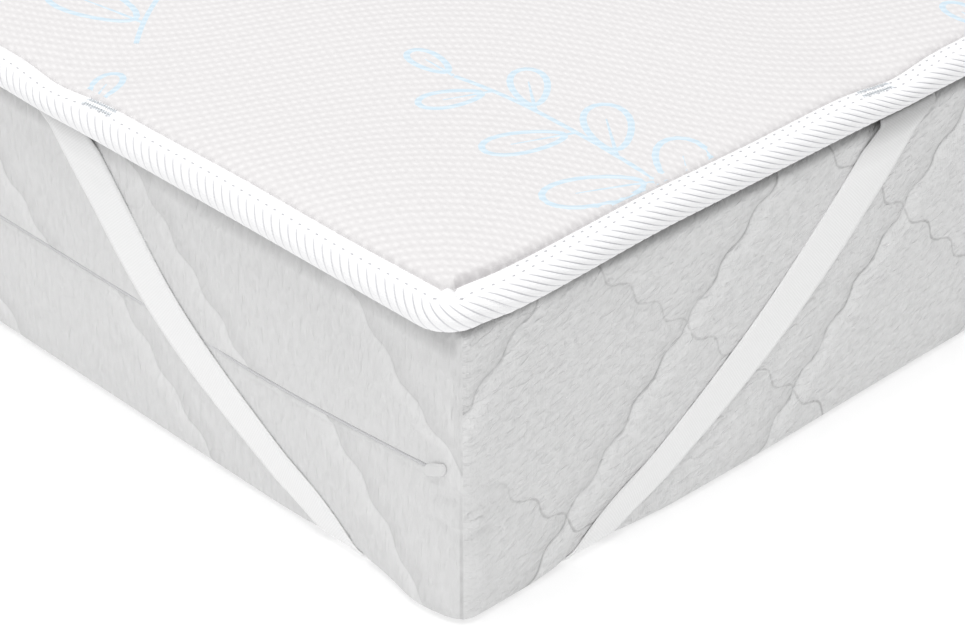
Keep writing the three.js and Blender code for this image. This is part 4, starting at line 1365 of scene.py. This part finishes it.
def build_stage():
    """The floor, the light and the camera."""
    scene = bpy.context.scene
    scene.view_settings.view_transform = "Standard"
    # White acrylic lit from below, as on a light table.
    acrylic, tree, shader = cloth("lit_white_acrylic", 0xC8C8C8, 0.9, 0.0)
    shader["Emission Color"].default_value = (1, 1, 1, 1)
    shader["Emission Strength"].default_value = FLOOR_GLOW
    point = add(tree, "ShaderNodeTexCoord").node.outputs["Object"]
    grain = add(tree, NOISE, {"Vector": point, "Scale": 200.0})
    dress(tree, shader, grain, 0.02, linear(0xC5C5C5), linear(0xC9C9C9))
    square = ((-1, -1), (1, -1), (1, 1), (-1, 1))
    corners = [(x * FLOOR_REACH, y * FLOOR_REACH, FLOOR_LEVEL) for x, y in square]
    mesh_piece("studio_floor", corners, [(0, 1, 2, 3)], [acrylic])
    scene.world = bpy.data.worlds.new("studio")
    scene.world.use_nodes = True
    background = scene.world.node_tree.nodes["Background"].inputs
    background["Color"].default_value = (1, 1, 1, 1)
    background["Strength"].default_value = ROOM_GLOW
    for name, place, size, power in LIGHTS:
        light = bpy.data.lights.new(name, "AREA")
        light.shape, light.size, light.energy = "DISK", size, power
        lamp = bpy.data.objects.new(name, light)
        lamp.location = place
        towards = Vector(LIGHTS_AIM) - Vector(place)
        lamp.rotation_euler = towards.to_track_quat("-Z", "Y").to_euler()
        scene.collection.objects.link(lamp)
    camera = bpy.data.objects.new("camera", bpy.data.cameras.new("camera"))
    camera.data.sensor_width, camera.data.lens = CAMERA_SENSOR, CAMERA_LENS
    camera.data.clip_end = 50
    camera.location = CAMERA_PLACE
    camera.rotation_euler = Vector(CAMERA_LOOK).to_track_quat("-Z", "Y").to_euler()
    scene.collection.objects.link(camera)
    scene.camera = camera


# The operators, in the order in which they run.


class BEDDING_OT_stage(bpy.types.Operator):
    """Set up the floor, the lights and the camera"""

    bl_idname = "bedding.stage"
    bl_label = "Stage"

    def execute(self, context):
        build_stage()
        return {"FINISHED"}


class BEDDING_OT_mattress_cover(bpy.types.Operator):
    """Build the mattress's quilted cover"""

    bl_idname = "bedding.mattress_cover"
    bl_label = "Mattress cover"

    def execute(self, context):
        build_cover(context.scene.bed_mattress)
        return {"FINISHED"}


class BEDDING_OT_zip(bpy.types.Operator):
    """Build the zip's coil and its tab"""

    bl_idname = "bedding.zip"
    bl_label = "Zip"

    def execute(self, context):
        build_zip()
        return {"FINISHED"}


class BEDDING_OT_panel(bpy.types.Operator):
    """Build the topper's padded panel"""

    bl_idname = "bedding.panel"
    bl_label = "Padded panel"

    def execute(self, context):
        build_panel()
        return {"FINISHED"}


class BEDDING_OT_sprigs(bpy.types.Operator):
    """Weave the sprigs into the panel"""

    bl_idname = "bedding.sprigs"
    bl_label = "Woven sprigs"

    def execute(self, context):
        build_sprigs(context.scene.bed_topper)
        return {"FINISHED"}


class BEDDING_OT_binding(bpy.types.Operator):
    """Fold the ribbed tape round the panel's edge"""

    bl_idname = "bedding.binding"
    bl_label = "Edge binding"

    def execute(self, context):
        build_binding(context.scene.bed_topper)
        return {"FINISHED"}


class BEDDING_OT_straps(bpy.types.Operator):
    """Lay the elastic straps round the mattress's corners"""

    bl_idname = "bedding.straps"
    bl_label = "Corner straps"

    def execute(self, context):
        build_straps()
        return {"FINISHED"}


class BEDDING_OT_stitches(bpy.types.Operator):
    """Sew the tape down and the straps on"""

    bl_idname = "bedding.stitches"
    bl_label = "Stitches"

    def execute(self, context):
        build_stitches(context.scene.bed_topper)
        build_tacks()
        return {"FINISHED"}


OPERATORS = (
    BEDDING_OT_stage,
    BEDDING_OT_mattress_cover,
    BEDDING_OT_zip,
    BEDDING_OT_panel,
    BEDDING_OT_sprigs,
    BEDDING_OT_binding,
    BEDDING_OT_straps,
    BEDDING_OT_stitches,
)


class BEDDING_PT_topper(bpy.types.Panel):
    bl_idname = "BEDDING_PT_topper"
    bl_label = "Mattress topper"
    bl_space_type = "VIEW_3D"
    bl_region_type = "UI"
    bl_category = "Topper"

    def draw(self, context):
        for label, kind in SETTINGS:
            box = self.layout.box()
            for key in kind.__annotations__:
                box.prop(getattr(context.scene, label), key)
        for operator in OPERATORS:
            self.layout.operator(operator.bl_idname)


def register():
    for label, kind in SETTINGS:
        bpy.utils.register_class(kind)
        setattr(bpy.types.Scene, label, PointerProperty(type=kind))
    for kind in (*OPERATORS, BEDDING_PT_topper):
        bpy.utils.register_class(kind)


def unregister():
    for kind in (BEDDING_PT_topper, *reversed(OPERATORS)):
        bpy.utils.unregister_class(kind)
    for label, kind in reversed(SETTINGS):
        delattr(bpy.types.Scene, label)
        bpy.utils.unregister_class(kind)


def main():
    register()
    for operator in OPERATORS:
        group, name = operator.bl_idname.split(".")
        getattr(getattr(bpy.ops, group), name)()


if __name__ == "__main__":
    main()
